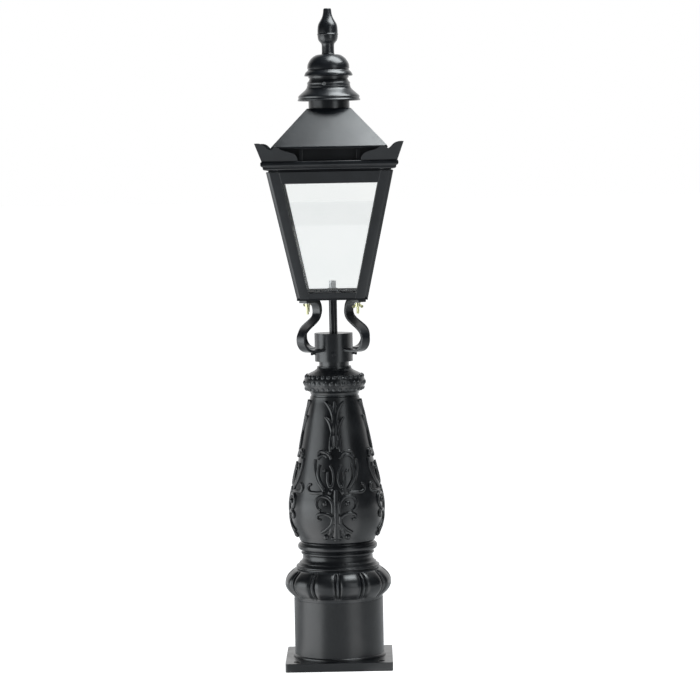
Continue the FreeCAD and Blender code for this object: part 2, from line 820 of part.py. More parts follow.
def hex_nut(label, flats, bore, low, height):
    """A six-sided nut on the vertical axis."""
    body = new_body(label)
    outline = new_sketch(body, "Outline", "XY_Plane", low)
    corner = f"{flats} / sqrt(3)"
    draw_outline(outline, [
        (corner, "0"), (f"{corner} / 2", f"{flats} / 2"), (f"-{corner} / 2", f"{flats} / 2"),
        (f"-{corner}", "0"), (f"-{corner} / 2", f"-{flats} / 2"),
        (f"{corner} / 2", f"-{flats} / 2")])
    draw_circle(outline, "0", "0", f"{bore} + fitting_gap", first=6)
    pad(body, outline, height)
    keep(body, label)


def conduit_pieces():
    """The tube that carries the wires up to the lamp, with its nuts and nipple."""
    low = "socket_top_z - socket_cap - conduit_tail"
    high = "floor_z + conduit_rise"
    inner = "conduit_radius - conduit_wall"
    waist = "nipple_radius - nipple_shoulder"
    seat = f"{high} + cap_nut_height"
    keep(turned("conduit_tube", rectangle(inner, "conduit_radius", low, high)), "conduit_tube")
    keep(turned("lamp_nipple", [
        ("nipple_bore", f"{high} - nipple_tail"),
        (f"{inner} - fitting_gap", f"{high} - nipple_tail"),
        (f"{inner} - fitting_gap", high),
        (waist, high),
        (waist, f"{seat} + nipple_relief"),
        ("nipple_radius", f"{seat} + nipple_relief"),
        ("nipple_radius", f"{seat} + nipple_height"),
        ("nipple_bore", f"{seat} + nipple_height"),
    ]), "lamp_nipple")
    hex_nut("conduit_cap_nut", "cap_nut_flats", waist, high, "cap_nut_height")
    hex_nut("floor_lock_nut", "floor_nut_flats", "conduit_radius", "frame_z",
            "floor_nut_height")


def lantern_floor():
    """The lantern's floor plate, with holes for the conduit and the four studs."""
    body = new_body("lantern_floor")
    outline = new_sketch(body, "Outline", "XY_Plane", "floor_z")
    after = draw_outline(outline, square("lantern_foot_half"))
    draw_circle(outline, "0", "0", "conduit_radius + fitting_gap", first=after)
    pad(body, outline, "floor_thickness")
    hole = new_sketch(body, "StudHole", "XY_Plane", "frame_z")
    draw_circle(hole, "stud_offset", "stud_offset", "stud_radius + fitting_gap")
    polar(body, [pocket(body, hole, "floor_thickness")], FOUR)
    keep(body, "lantern_floor")


def stile_outline(level):
    """A corner bar's section: two flanges with a chamfered arris, in the +X +Y corner."""
    half = half_at(level)
    inner = f"{half} - stile_thickness"
    cut = "stile_chamfer + stile_thickness * (sqrt(2) - 1)"
    return [
        (f"{half} - stile_width", half),
        (f"{half} - stile_width", inner),
        (f"{half} - ({cut})", inner),
        (inner, f"{half} - ({cut})"),
        (inner, f"{half} - stile_width"),
        (half, f"{half} - stile_width"),
        (half, f"{half} - stile_chamfer"),
        (f"{half} - stile_chamfer", half),
    ]


def stile(label, turn):
    """One leaning corner bar of the lantern's frame."""
    body = new_body(label)
    lofted(body, stile_outline("frame_z"), "frame_z", stile_outline("frame_top_z"), "frame_top_z")
    keep(body, label, turn)


def slab_outline(level, cover, depth, setback="0"):
    """A bar's section beside the back face: it runs to a cover from each corner."""
    half = half_at(level)
    return rectangle(f"-({half} - {cover})", f"{half} - {cover}",
                     f"{half} - {setback} - {depth}", f"{half} - {setback}")


def leaning_slab(label, turn, low, high, cover, depth, setback="0"):
    """A flat bar or pane that leans with one face of the lantern."""
    body = new_body(label)
    lofted(body, slab_outline(low, cover, depth, setback), low,
           slab_outline(high, cover, depth, setback), high)
    keep(body, label, turn)


def lantern_frame():
    """Corner bars, the rails between them, the panes and their beads."""
    for index, corner in enumerate(CORNERS):
        stile(f"stile_{corner}", QUARTER * (index - 1))
    for index, side in enumerate(SIDES):
        turn = QUARTER * (index + 2)
        leaning_slab(f"sill_rail_{side}", turn, "frame_z", "sill_top_z",
                     "stile_width", "rail_thickness")
        leaning_slab(f"head_rail_{side}", turn, "head_rail_z", "frame_top_z",
                     "stile_width", "rail_thickness")
        leaning_slab(f"pane_{side}", turn, "sill_top_z", "head_rail_z - pane_edge_gap",
                     "pane_inset", "pane_thickness", "stile_thickness")
    beads = new_body("pane_beads")
    behind = "(stile_thickness + pane_thickness)"
    top = "(sill_top_z + pane_bead_size)"
    bead = lofted(beads, slab_outline("sill_top_z", "stile_width", "pane_bead_size", behind),
                  "sill_top_z", slab_outline(top, "stile_width", "pane_bead_size", behind), top)
    polar(beads, [bead], FOUR)
    keep(beads, "pane_beads")


def cornice():
    """The moulded square ring on top of the frame, open in the middle."""
    body = new_body("cornice")
    lip_z = "(cornice_top_z - cornice_lip_height)"
    layers = [
        ("cornice_neck_half", "cornice_z", "cornice_neck_height"),
        ("cornice_half", "cornice_z + cornice_neck_height",
         "cornice_height - cornice_neck_height - cornice_lip_height"),
        ("cornice_half + cornice_lip_proud", lip_z, "cornice_lip_height"),
    ]
    for half, level, height in layers:
        outline = new_sketch(body, "Layer", "XY_Plane", level)
        draw_outline(outline, square(half))
        last = pad(body, outline, height)
    top = size("cornice_top_z")
    rounded = [f"Edge{number}" for number, edge in enumerate(body.Shape.Edges, 1)
               if edge.BoundBox.ZMin > top - 0.01]
    lip = body.newObject("PartDesign::Fillet", "Lip")
    lip.Base = (last, rounded)
    bind(lip, Radius="cornice_lip_round")
    doc.recompute()
    opening = new_sketch(body, "Opening", "XY_Plane", "cornice_z")
    draw_outline(opening, square("cornice_opening_half"))
    pocket(body, opening)
    keep(body, "cornice")


def corner_leaf(label, turn):
    """One cresting leaf: two leaning plates that meet at the corner, with a tall tip,
    a valley, a bump and a long shoulder along each side."""
    body = new_body(label)
    base = "(cornice_half - leaf_setback)"
    high = f"({base} + leaf_slope * leaf_height)"
    end = f"({base} - leaf_length)"

    def section(half):
        inner = f"({half} - leaf_thickness)"
        return [(end, inner), (inner, inner), (inner, end), (half, end), (half, half), (end, half)]

    lofted(body, section(base), "cornice_top_z", section(high), "cornice_top_z + leaf_height")
    above = "cornice_top_z + leaf_height * 2"
    crest = [
        (f"{base} - leaf_length - leaf_thickness", above),
        (f"{base} - leaf_length - leaf_thickness", "cornice_top_z + leaf_end_height - leaf_end_round"),
        (end, "cornice_top_z + leaf_end_height - leaf_end_round"),
        (f"{end} + leaf_end_round", "cornice_top_z + leaf_end_height"),
        (f"{base} - leaf_shoulder_reach", "cornice_top_z + leaf_shoulder_height"),
        (f"{base} - leaf_bump_reach", "cornice_top_z + leaf_bump_height"),
        (f"{base} - leaf_valley_reach", "cornice_top_z + leaf_valley_height"),
        (high, "cornice_top_z + leaf_height"),
        (f"{high} + leaf_thickness", above),
    ]
    arcs = {
        2: ("leaf_end_round", -1),
        4: ("leaf_bump_round", -1),
        5: ("leaf_bump_round", -1),
        6: ("leaf_tip_round", 1),
    }
    for plane in ("XZ_Plane", "YZ_Plane"):
        cut = new_sketch(body, "Crest", plane)
        draw_outline(cut, crest, arcs)
        pocket(body, cut)
    keep(body, label, turn)


def vent_pieces():
    """The blocks that the closed roof rests on, and the frieze that hangs from it."""
    rests = new_body("roof_rests")
    outline = new_sketch(rests, "Outline", "XY_Plane", "cornice_top_z")
    for sign in ("", "-"):
        middle = f"{sign}rest_offset"
        draw_outline(outline, rectangle(
            f"{middle} - rest_width / 2", f"{middle} + rest_width / 2",
            "rest_setback", "rest_setback + rest_depth"), first=4 if sign else 0)
    polar(rests, [pad(rests, outline, "vent_height - roof_gap")], FOUR)
    keep(rests, "roof_rests")
    frieze = new_body("vent_frieze")
    ring = new_sketch(frieze, "Outline", "XY_Plane", "eave_z - frieze_height")
    after = draw_outline(ring, square("frieze_half"))
    draw_outline(ring, square("frieze_half - frieze_wall"), first=after)
    pad(frieze, ring, "frieze_height")
    keep(frieze, "vent_frieze")


def roof_shell():
    """The hollow square roof with its flat eave and the hole for the chimney."""
    body = new_body("roof_shell")
    eave = new_sketch(body, "Eave", "XY_Plane", "eave_z")
    draw_outline(eave, square("roof_eave_half"))
    pad(body, eave, "roof_eave_thickness")
    lofted(body, square("roof_eave_half"), "slope_z", square("roof_top_half"), "roof_top_z")
    low = "roof_eave_half - roof_wall * sqrt(roof_pitch ^ 2 + 1)"
    lofted(body, square(low), "slope_z",
           square(f"{low} - roof_pitch * (roof_height - roof_wall)"), "roof_top_z - roof_wall",
           cut=True)
    opening = new_sketch(body, "Opening", "XY_Plane", "slope_z")
    draw_outline(opening, square("roof_opening_half"))
    pocket(body, opening, "roof_eave_thickness")
    hole = new_sketch(body, "ChimneyHole", "XY_Plane", "roof_top_z")
    draw_circle(hole, "0", "0", "chimney_radius - chimney_wall")
    pocket(body, hole, "roof_wall * 2")
    keep(body, "roof_shell")


def chimney_pieces():
    """The round neck on the roof and the turned caps and band above it."""
    body = turned("chimney_neck", rectangle(
        "chimney_radius - chimney_wall", "chimney_radius",
        "roof_top_z", "flare_top_z - flare_wall"))
    keep(body, "chimney_neck")
    flare = [
        ("flare_rim_radius - flare_wall", "flare_z"),
        ("flare_rim_radius", "flare_z"),
        ("flare_rim_radius", "flare_z + flare_rim_height"),
        ("band_radius + flare_ledge", "flare_top_z - flare_ledge"),
        ("band_radius + flare_ledge", "flare_top_z"),
        ("0", "flare_top_z"),
        ("0", "flare_top_z - flare_wall"),
        ("band_radius", "flare_top_z - flare_wall"),
        ("flare_rim_radius - flare_wall", "flare_z + flare_rim_height - flare_wall / 2"),
    ]
    arcs = {2: ("flare_curve", 1), 7: ("flare_curve - flare_wall", -1)}
    keep(turned("lower_cap", flare, arcs), "lower_cap")
    step = "flare_top_z + band_step_height"
    inner = "band_waist_radius - band_wall"
    band = turned("crown_band", [
        (inner, "flare_top_z"),
        ("band_radius", "flare_top_z"),
        ("band_radius", "flare_top_z + band_foot_height"),
        ("band_middle_radius", "flare_top_z + band_foot_height"),
        ("band_middle_radius", step),
        ("band_waist_radius", step),
        ("band_waist_radius", "dome_z"),
        (inner, "dome_z"),
    ])
    hole = new_sketch(band, "ScrewHole", "YZ_Plane", "band_radius")
    draw_circle(hole, "0", "cap_screw_z", "cap_screw_radius + fitting_gap")
    polar(band, [pocket(band, hole, "band_radius")], "cap_screw_count")
    keep(band, "crown_band", CAP_SCREW_TURN)
    radial_screws("cap_screws", "cap_screw_count", "cap_screw_z", inner,
                  "cap_screw_radius", "band_middle_radius", "cap_screw_head_radius",
                  "cap_screw_head_height", CAP_SCREW_TURN)
    top = "(dome_z + dome_top_height)"
    drum = "(dome_z + dome_drum_height)"
    brim = "dome_z + dome_rim_height"
    dome = [
        ("dome_drum_radius - dome_wall", "dome_z"),
        ("dome_rim_radius", "dome_z"),
        ("dome_rim_radius", brim),
        ("dome_drum_radius", f"{brim} + dome_brim_height"),
        ("dome_drum_radius", drum),
        ("dome_top_radius", top),
        ("0", top),
        ("0", f"{top} - dome_wall"),
        ("dome_top_radius - dome_wall / 2", f"{top} - dome_wall"),
        ("dome_drum_radius - dome_wall", f"{drum} - dome_wall / 2"),
    ]
    rounds = {4: ("dome_round", 1), 8: ("dome_round - dome_wall / 2", -1)}
    keep(turned("upper_cap", dome, rounds), "upper_cap")


def finial():
    """The turned finial: a stem, a fat bulb, a thin neck and a small tip."""
    body = turned("finial", [
        ("0", "dome_top_z"),
        ("finial_stem_radius", "dome_top_z"),
        ("finial_stem_radius", "dome_top_z + finial_stem_height"),
        ("finial_bulb_radius", "dome_top_z + finial_bulb_low"),
        ("finial_bulb_radius", "dome_top_z + finial_bulb_high"),
        ("finial_shoulder_radius", "dome_top_z + finial_shoulder_height"),
        ("finial_neck_radius", "dome_top_z + finial_neck_height"),
        ("finial_tip_radius", "dome_top_z + finial_height - finial_tip_round"),
        ("finial_tip_radius - finial_tip_round", "dome_top_z + finial_height"),
        ("0", "dome_top_z + finial_height"),
    ], {2: ("finial_bulb_curve", 1), 4: ("finial_bulb_curve", 1),
        5: ("finial_neck_curve", -1), 7: ("finial_tip_round", 1)})
    keep(body, "finial")


def knuckle_range(index):
    """The ends of one of the knuckles along the pin."""
    pitch = f"(hinge_half_width * 2 / {KNUCKLE_COUNT})"
    low = f"-hinge_half_width + {pitch} * {index}"
    return f"{low} + knuckle_gap / 2", f"{low} + {pitch} - knuckle_gap / 2"


def knuckles(body, places, bore, plate):
    """Bored cylinders along the pin, each joined to its leaf by a tab's outline."""
    for index in places:
        low, high = knuckle_range(index)
        tab = new_sketch(body, "Tab", "YZ_Plane", low)
        draw_outline(tab, plate)
        pad(body, tab, f"({high}) - ({low})")
        barrel = new_sketch(body, "Barrel", "YZ_Plane", low)
        draw_circle(barrel, "pin_y", "pin_z", "knuckle_radius")
        pad(body, barrel, f"({high}) - ({low})")
    hole = new_sketch(body, "PinHole", "YZ_Plane")
    draw_circle(hole, "pin_y", "pin_z", bore)
    pocket(body, hole)


def roof_hinge():
    """A five-knuckle hinge behind the roof's back eave: a leaf that stands on the
    cornice, a leaf on the roof's slope, and the pin."""
    half_leaf = "hinge_leaf_thickness / 2"
    shelf = "pin_z - knuckle_radius - 2 * knuckle_gap"
    fixed = new_body("hinge_fixed_leaf")
    plate = new_sketch(fixed, "Plate", "YZ_Plane")
    draw_outline(plate, [
        (f"pin_y - {half_leaf}", "cornice_top_z"),
        ("pin_y + hinge_foot", "cornice_top_z"),
        ("pin_y + hinge_foot", "cornice_top_z + hinge_leaf_thickness"),
        (f"pin_y + {half_leaf}", "cornice_top_z + hinge_leaf_thickness"),
        (f"pin_y + {half_leaf}", shelf),
        (f"pin_y - {half_leaf}", shelf),
    ])
    pad(fixed, plate, "hinge_half_width * 2", both_ways=True)
    knuckles(fixed, range(0, KNUCKLE_COUNT, 2), "pin_radius", rectangle(
        f"pin_y - {half_leaf}", f"pin_y + {half_leaf}", shelf, "pin_z"))
    keep(fixed, "hinge_fixed_leaf")

    moving = new_body("hinge_roof_leaf")
    along = "(roof_eave_half - roof_top_half) / slope_length"
    rise = "roof_height / slope_length"
    far_y = f"roof_eave_half - hinge_leaf_length * {along}"
    far_z = f"slope_z + hinge_leaf_length * {rise}"
    thick_y = f"hinge_leaf_thickness * {rise}"
    thick_z = f"hinge_leaf_thickness * {along}"
    slope_plate = new_sketch(moving, "SlopePlate", "YZ_Plane")
    draw_outline(slope_plate, [
        ("roof_eave_half", "slope_z"),
        (f"roof_eave_half + {thick_y}", f"slope_z + {thick_z}"),
        (f"{far_y} + {thick_y}", f"{far_z} + {thick_z}"),
        (far_y, far_z),
    ])
    pad(moving, slope_plate, "hinge_half_width * 2", both_ways=True)
    knuckles(moving, range(1, KNUCKLE_COUNT, 2), "pin_radius + pin_clearance", [
        ("roof_eave_half", "pin_z"),
        ("pin_y", "pin_z"),
        ("pin_y", "pin_z + knuckle_radius"),
        (f"roof_eave_half + {thick_y}", f"slope_z + {thick_z}"),
        ("roof_eave_half", "slope_z"),
    ])
    keep(moving, "hinge_roof_leaf")

    pin = new_body("hinge_pin")
    section = new_sketch(pin, "Section", "YZ_Plane")
    draw_circle(section, "pin_y", "pin_z", "pin_radius")
    pad(pin, section, "hinge_half_width * 2", both_ways=True)
    keep(pin, "hinge_pin")


def stud_pieces():
    """Four headed studs through the floor, and a washer on each under the bracket."""
    studs = new_body("lantern_studs")
    head = new_sketch(studs, "Head", "XY_Plane", "frame_z")
    draw_circle(head, "stud_offset", "stud_offset", "stud_head_radius")
    shank = new_sketch(studs, "Shank", "XY_Plane", "floor_z - stud_length")
    draw_circle(shank, "stud_offset", "stud_offset", "stud_radius")
    made = [pad(studs, head, "stud_head_height"),
            pad(studs, shank, "stud_length + floor_thickness")]
    polar(studs, made, FOUR)
    keep(studs, "lantern_studs")
    washers = new_body("stud_washers")
    ring = new_sketch(washers, "Ring", "XY_Plane", "nut_z")
    after = draw_circle(ring, "stud_offset", "stud_offset", "washer_radius")
    draw_circle(ring, "stud_offset", "stud_offset", "stud_radius + fitting_gap", first=after)
    polar(washers, [pad(washers, ring, "washer_thickness")], FOUR)
    keep(washers, "stud_washers")


def wing_nut(label, across, along, turn):
    """A wing nut, free to turn on its stud: a bored hub with two wings."""
    top = "nut_z - wing_nut_gap"
    body = turned(label, rectangle("stud_radius + running_clearance", "wing_nut_hub_radius",
                                   f"{top} - wing_nut_hub_height", top))
    root = "wing_nut_hub_radius - wing_nut_root"
    edge = f"{top} - wing_nut_height + wing_nut_tip_chamfer"
    corners = [
        (root, f"{top} - wing_nut_shoulder"),
        (root, f"{top} - wing_nut_hub_height"),
        ("wing_nut_span - wing_nut_tip_width", f"{top} - wing_nut_height"),
        ("wing_nut_span", edge),
        ("wing_nut_span", f"{edge} + wing_nut_edge_height"),
    ]
    for sign in ("", "-"):
        wing = new_sketch(body, "Wing", "XZ_Plane")
        draw_outline(wing, [(f"{sign}({out})", up) for out, up in corners])
        pad(body, wing, "wing_nut_thickness", both_ways=True)
    keep(body, label, turn, across, along)


def export():
    """Check every object, then write each sub-part to its own file."""
    doc.recompute()
    for thing in doc.Objects:
        if "Invalid" in thing.State or "Error" in thing.State:
            raise RuntimeError(f"{thing.Label} failed: {thing.State}")
    for thing in nodes:
        if thing.Shape.isNull() or not thing.Shape.isValid() or not thing.Shape.Solids:
            raise RuntimeError(f"{thing.Label} has no valid shape")
    os.makedirs("parts", exist_ok=True)
    for thing in nodes:
        thing.Shape.exportStep(f"parts/{thing.Label}.step")


def main():
    fill_sheet()
    base_plate()
    plinth_tube()
    gadroon_ring()
    post_casting()
    bead_collar()
    spigot_tube()
    frog_socket()
    radial_screws("socket_set_screws", "set_screw_count", "set_screw_z",
                  "spigot_radius + fitting_gap", "set_screw_radius",
                  "socket_radius + set_screw_stand", "set_screw_head_radius",
                  "set_screw_head_length")
    for index, corner in enumerate(CORNERS):
        frog_arm(f"frog_arm_{corner}", QUARTER * (index - 0.5))
    conduit_pieces()
    lantern_floor()
    lantern_frame()
    cornice()
    for index, corner in enumerate(CORNERS):
        corner_leaf(f"corner_leaf_{corner}", QUARTER * (index - 1))
    vent_pieces()
    roof_shell()
    chimney_pieces()
    finial()
    roof_hinge()
    stud_pieces()
    signs = (("", "-"), ("", ""), ("-", ""), ("-", "-"))
    for index, (corner, (across, along)) in enumerate(zip(CORNERS, signs)):
        wing_nut(f"wing_nut_{corner}", f"{across}stud_offset", f"{along}stud_offset",
                 WING_NUT_TURN + QUARTER * index)
    export()


main()
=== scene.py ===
"""Looks of a four-sided street lantern on a short ornate cast post.

Lengths are in millimetres and are brought to metres where a shape is made.
"""

import json
import math

import bpy
from mathutils import Matrix, Vector

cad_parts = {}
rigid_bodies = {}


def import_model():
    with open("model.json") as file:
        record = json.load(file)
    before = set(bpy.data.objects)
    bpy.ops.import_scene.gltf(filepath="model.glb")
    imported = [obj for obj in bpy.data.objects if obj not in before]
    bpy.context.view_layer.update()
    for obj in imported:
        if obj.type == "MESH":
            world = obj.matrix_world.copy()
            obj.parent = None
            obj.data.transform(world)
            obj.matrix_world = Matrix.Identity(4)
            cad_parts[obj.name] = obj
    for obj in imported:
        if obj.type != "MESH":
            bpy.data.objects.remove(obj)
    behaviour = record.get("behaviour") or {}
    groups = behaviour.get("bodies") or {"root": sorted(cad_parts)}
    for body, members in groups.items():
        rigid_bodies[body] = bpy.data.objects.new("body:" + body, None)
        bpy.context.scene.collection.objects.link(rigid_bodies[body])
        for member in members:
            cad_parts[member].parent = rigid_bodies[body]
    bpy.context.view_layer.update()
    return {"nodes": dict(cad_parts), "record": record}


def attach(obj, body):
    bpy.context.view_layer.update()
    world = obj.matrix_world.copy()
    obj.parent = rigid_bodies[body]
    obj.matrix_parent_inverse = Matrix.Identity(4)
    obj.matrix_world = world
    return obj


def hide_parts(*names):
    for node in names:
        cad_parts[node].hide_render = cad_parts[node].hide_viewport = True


MM = 0.001
POST = "lantern_and_post"
ROOF = "roof"
QUARTER = math.pi / 2
# Largest angle, in degrees, that is shaded smooth on pieces made of flats.
FLAT = 14


def clear_start():
    """Removes whatever the empty file holds."""
    for thing in list(bpy.data.objects):
        bpy.data.objects.remove(thing, do_unlink=True)


clear_start()
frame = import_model()


# ---------------------------------------------------------------- hand tools

def deselect():
    """Nothing stays selected, so an operator acts on the new piece alone."""
    if bpy.context.object and bpy.context.object.mode != "OBJECT":
        bpy.ops.object.mode_set(mode="OBJECT")
    bpy.ops.object.select_all(action="DESELECT")


def start_edit():
    bpy.ops.object.mode_set(mode="EDIT")
    bpy.ops.mesh.select_all(action="SELECT")


def end_edit():
    bpy.ops.object.mode_set(mode="OBJECT")
    return bpy.context.object


def pick(thing):
    deselect()
    thing.select_set(True)
    bpy.context.view_layer.objects.active = thing
    return thing


def placed(thing):
    """The piece's place, turn and size go into its mesh."""
    pick(thing)
    bpy.ops.object.transform_apply(location=True, rotation=True, scale=True)
    return thing


def settle(thing, smooth=35):
    """Puts the place into the mesh, closes seams, turns faces outwards and shades them."""
    placed(thing)
    start_edit()
    bpy.ops.mesh.remove_doubles(threshold=0.00002)
    bpy.ops.mesh.normals_make_consistent(inside=False)
    end_edit()
    bpy.ops.object.shade_smooth_by_angle(angle=math.radians(smooth))
    return thing


def named(thing, name):
    thing.name = name
    thing.data.name = name
    return thing


def apply_all(thing):
    pick(thing)
    for modifier in list(thing.modifiers):
        bpy.ops.object.modifier_apply(modifier=modifier.name)
    return thing


def join(things, name):
    """Makes several shapes one piece."""
    deselect()
    for thing in things:
        thing.select_set(True)
    bpy.context.view_layer.objects.active = things[0]
    bpy.ops.object.join()
    return named(bpy.context.object, name)


def copy_turned(thing, angle, name):
    """A copy with its own mesh, turned about the upright axis."""
    other = thing.copy()
    other.data = thing.data.copy()
    bpy.context.scene.collection.objects.link(other)
    other.data.transform(Matrix.Rotation(angle, 4, "Z"))
    return named(other, name)


def arc(start, end, bulge, steps=8):
    """Points of a shallow arc from start to end; a positive bulge stands outwards."""
    (r0, z0), (r1, z1) = start, end
    chord = math.hypot(r1 - r0, z1 - z0)
    across = ((z1 - z0) / chord, -(r1 - r0) / chord)
    half_round = abs(bulge) * 2 >= chord * 0.8
    points = []
    for step in range(1, steps):
        t = step / steps
        if half_round:
            rise = bulge * math.sqrt(max(0.0, 1 - (2 * t - 1) ** 2))
        else:
            rise = bulge * 4 * t * (1 - t)
        points.append((r0 + (r1 - r0) * t + across[0] * rise,
                       z0 + (z1 - z0) * t + across[1] * rise))
    return points


def turn_shape(outline, segments=96, hollow=True, turn=0.0):
    """A ring that is extruded and scaled from level to level; an outline that comes back
    to its start is a wall, and one that ends on the axis is closed by a pole."""
    deselect()
    radius, level = outline[0]
    bpy.ops.mesh.primitive_circle_add(vertices=segments, radius=radius * MM,
                                      location=(0, 0, level * MM), rotation=(0, 0, turn))
    start_edit()
    for (radius, level), (wider, higher) in zip(outline, outline[1:]):
        bpy.ops.mesh.extrude_region_move(
            TRANSFORM_OT_translate={"value": (0, 0, (higher - level) * MM)})
        if wider == 0:
            bpy.ops.mesh.merge(type="CENTER")
        elif wider != radius:
            ratio = wider / radius
            bpy.ops.transform.resize(value=(ratio, ratio, 1),
                                     center_override=(0, 0, higher * MM))
    bpy.ops.mesh.select_all(action="DESELECT")
    bpy.ops.mesh.select_non_manifold()
    if hollow:
        bpy.ops.mesh.bridge_edge_loops()
    else:
        bpy.ops.mesh.fill_holes(sides=0)
    return end_edit()


def round_edges(thing, width, segments=2, angle=28):
    """Takes the sharpness off the edges, as filing and paint do."""
    bevel = thing.modifiers.new("round", "BEVEL")
    bevel.width, bevel.segments = width * MM, segments
    bevel.limit_method, bevel.angle_limit = "ANGLE", math.radians(angle)
    return apply_all(thing)


def square_shape(outline, edge=0.9):
    """A four-sided moulding; each point of the outline is a half width and a level."""
    corners = [(half * math.sqrt(2), level) for half, level in outline]
    return settle(round_edges(settle(turn_shape(corners, 4, True, QUARTER / 2)), edge), FLAT)


def filed_copy(node, name, edge, smooth=21):
    """A merged copy of a plain solid, with its flats made whole and its edges rounded."""
    mesh = frame["nodes"][node].data.copy()
    thing = bpy.data.objects.new(name, mesh)
    bpy.context.scene.collection.objects.link(thing)
    pick(thing)
    start_edit()
    bpy.ops.mesh.remove_doubles(threshold=0.00001)
    bpy.ops.mesh.dissolve_limited(angle_limit=math.radians(0.6))
    end_edit()
    round_edges(named(thing, name), edge)
    bpy.ops.object.shade_smooth_by_angle(angle=math.radians(smooth))
    return thing


# ---------------------------------------------------------------- finishes

def add_node(tree, kind, **values):
    node = tree.nodes.new(kind)
    for key, value in values.items():
        if hasattr(node, key):
            setattr(node, key, value)
        else:
            node.inputs[key.replace("_", " ")].default_value = value
    return node


def new_group(name, inputs, outputs):
    group = bpy.data.node_groups.new(name, "ShaderNodeTree")
    for label, kind, value in inputs:
        socket = group.interface.new_socket(label, in_out="INPUT", socket_type=kind)
        socket.default_value = value
    for label, kind in outputs:
        group.interface.new_socket(label, in_out="OUTPUT", socket_type=kind)
    return group, group.nodes.new("NodeGroupInput"), group.nodes.new("NodeGroupOutput")


FLOAT, COLOUR = "NodeSocketFloat", "NodeSocketColor"


def remap(tree, source, low, high, to_low=0.0, to_high=1.0):
    """A soft step of a value between two thresholds."""
    node = add_node(tree, "ShaderNodeMapRange", interpolation_type="SMOOTHSTEP")
    for socket, value in zip(("From Min", "From Max", "To Min", "To Max"),
                             (low, high, to_low, to_high)):
        node.inputs[socket].default_value = value
    tree.links.new(source, node.inputs["Value"])
    return node.outputs["Result"]


def combine(tree, operation, first, second):
    node = add_node(tree, "ShaderNodeMath", operation=operation)
    for index, source in enumerate((first, second)):
        if isinstance(source, (int, float)):
            node.inputs[index].default_value = source
        else:
            tree.links.new(source, node.inputs[index])
    return node.outputs[0]


def blend_colours(tree, amount, first, second):
    node = add_node(tree, "ShaderNodeMix", data_type="RGBA")
    for socket, source in ((0, amount), (6, first), (7, second)):
        tree.links.new(source, node.inputs[socket])
    return node.outputs[2]


def noise(tree, coordinates, scale, detail=3.0, roughness=0.55):
    node = add_node(tree, "ShaderNodeTexNoise", Scale=scale, Detail=detail,
                    Roughness=roughness)
    tree.links.new(coordinates, node.inputs["Vector"])
    return node.outputs["Fac"]


def make_paint_group():
    """Colour and roughness of old gloss paint: mottled, dusty on top, rubbed on edges."""
    group, given, result = new_group(
        "paint_age",
        [("Paint", COLOUR, (0.02, 0.02, 0.02, 1)), ("Light Paint", COLOUR, (0.03, 0.03, 0.03, 1)),
         ("Rubbed", COLOUR, (0.2, 0.2, 0.2, 1)), ("Dust", COLOUR, (0.3, 0.3, 0.3, 1)),
         ("Wear", FLOAT, 0.3), ("Dusty", FLOAT, 0.2), ("Gloss Low", FLOAT, 0.3),
         ("Gloss High", FLOAT, 0.45)],
        [("Color", COLOUR), ("Roughness", FLOAT)])
    place = add_node(group, "ShaderNodeTexCoord")
    spots = place.outputs["Object"]
    broad = remap(group, noise(group, spots, 22, 4), 0.35, 0.68)
    fine = noise(group, spots, 420, 4, 0.65)
    paint = blend_colours(group, broad, given.outputs["Paint"], given.outputs["Light Paint"])
    sharp = add_node(group, "ShaderNodeNewGeometry")
    edge = remap(group, sharp.outputs["Pointiness"], 0.515, 0.56)
    rubbed = combine(group, "MULTIPLY", combine(group, "MULTIPLY", edge,
                     remap(group, fine, 0.35, 0.6)), given.outputs["Wear"])
    paint = blend_colours(group, rubbed, paint, given.outputs["Rubbed"])
    facing = add_node(group, "ShaderNodeSeparateXYZ")
    group.links.new(place.outputs["Normal"], facing.inputs[0])
    upward = remap(group, facing.outputs["Z"], 0.45, 1.0)
    speckle = remap(group, noise(group, spots, 130, 5, 0.7), 0.42, 0.72)
    dusty = combine(group, "MULTIPLY", combine(group, "MULTIPLY", upward, speckle),
                    given.outputs["Dusty"])
    paint = blend_colours(group, dusty, paint, given.outputs["Dust"])
    group.links.new(paint, result.inputs["Color"])
    span = combine(group, "SUBTRACT", given.outputs["Gloss High"], given.outputs["Gloss Low"])
    gloss = combine(group, "ADD", given.outputs["Gloss Low"],
                    combine(group, "MULTIPLY", span, broad))
    gloss = combine(group, "ADD", gloss, combine(group, "MULTIPLY", dusty, 0.5))
    group.links.new(gloss, result.inputs["Roughness"])
    return group


def make_surface_group():
    """Height of a painted surface: sand-cast pits and lumps, or smooth orange peel."""
    group, given, result = new_group(
        "surface_relief",
        [("Lump Size", FLOAT, 90), ("Pit Size", FLOAT, 500), ("Lumps", FLOAT, 0.5),
         ("Pits", FLOAT, 0.5)],
        [("Height", FLOAT)])
    place = add_node(group, "ShaderNodeTexCoord")
    parts = []
    for size, share in (("Lump Size", "Lumps"), ("Pit Size", "Pits")):
        texture = add_node(group, "ShaderNodeTexNoise", Detail=3.0, Roughness=0.6)
        group.links.new(place.outputs["Object"], texture.inputs["Vector"])
        group.links.new(given.outputs[size], texture.inputs["Scale"])
        parts.append(combine(group, "MULTIPLY", texture.outputs["Fac"], given.outputs[share]))
    group.links.new(combine(group, "ADD", *parts), result.inputs["Height"])
    return group


PAINT_AGE = make_paint_group()
SURFACE_RELIEF = make_surface_group()


def place_group(tree, group, values):
    node = add_node(tree, "ShaderNodeGroup", node_tree=group)
    for label, value in values.items():
        node.inputs[label].default_value = value
    return node


def new_material(name):
    material = bpy.data.materials.new(name)
    material.use_nodes = True
    tree = material.node_tree
    return material, tree, tree.nodes["Principled BSDF"]


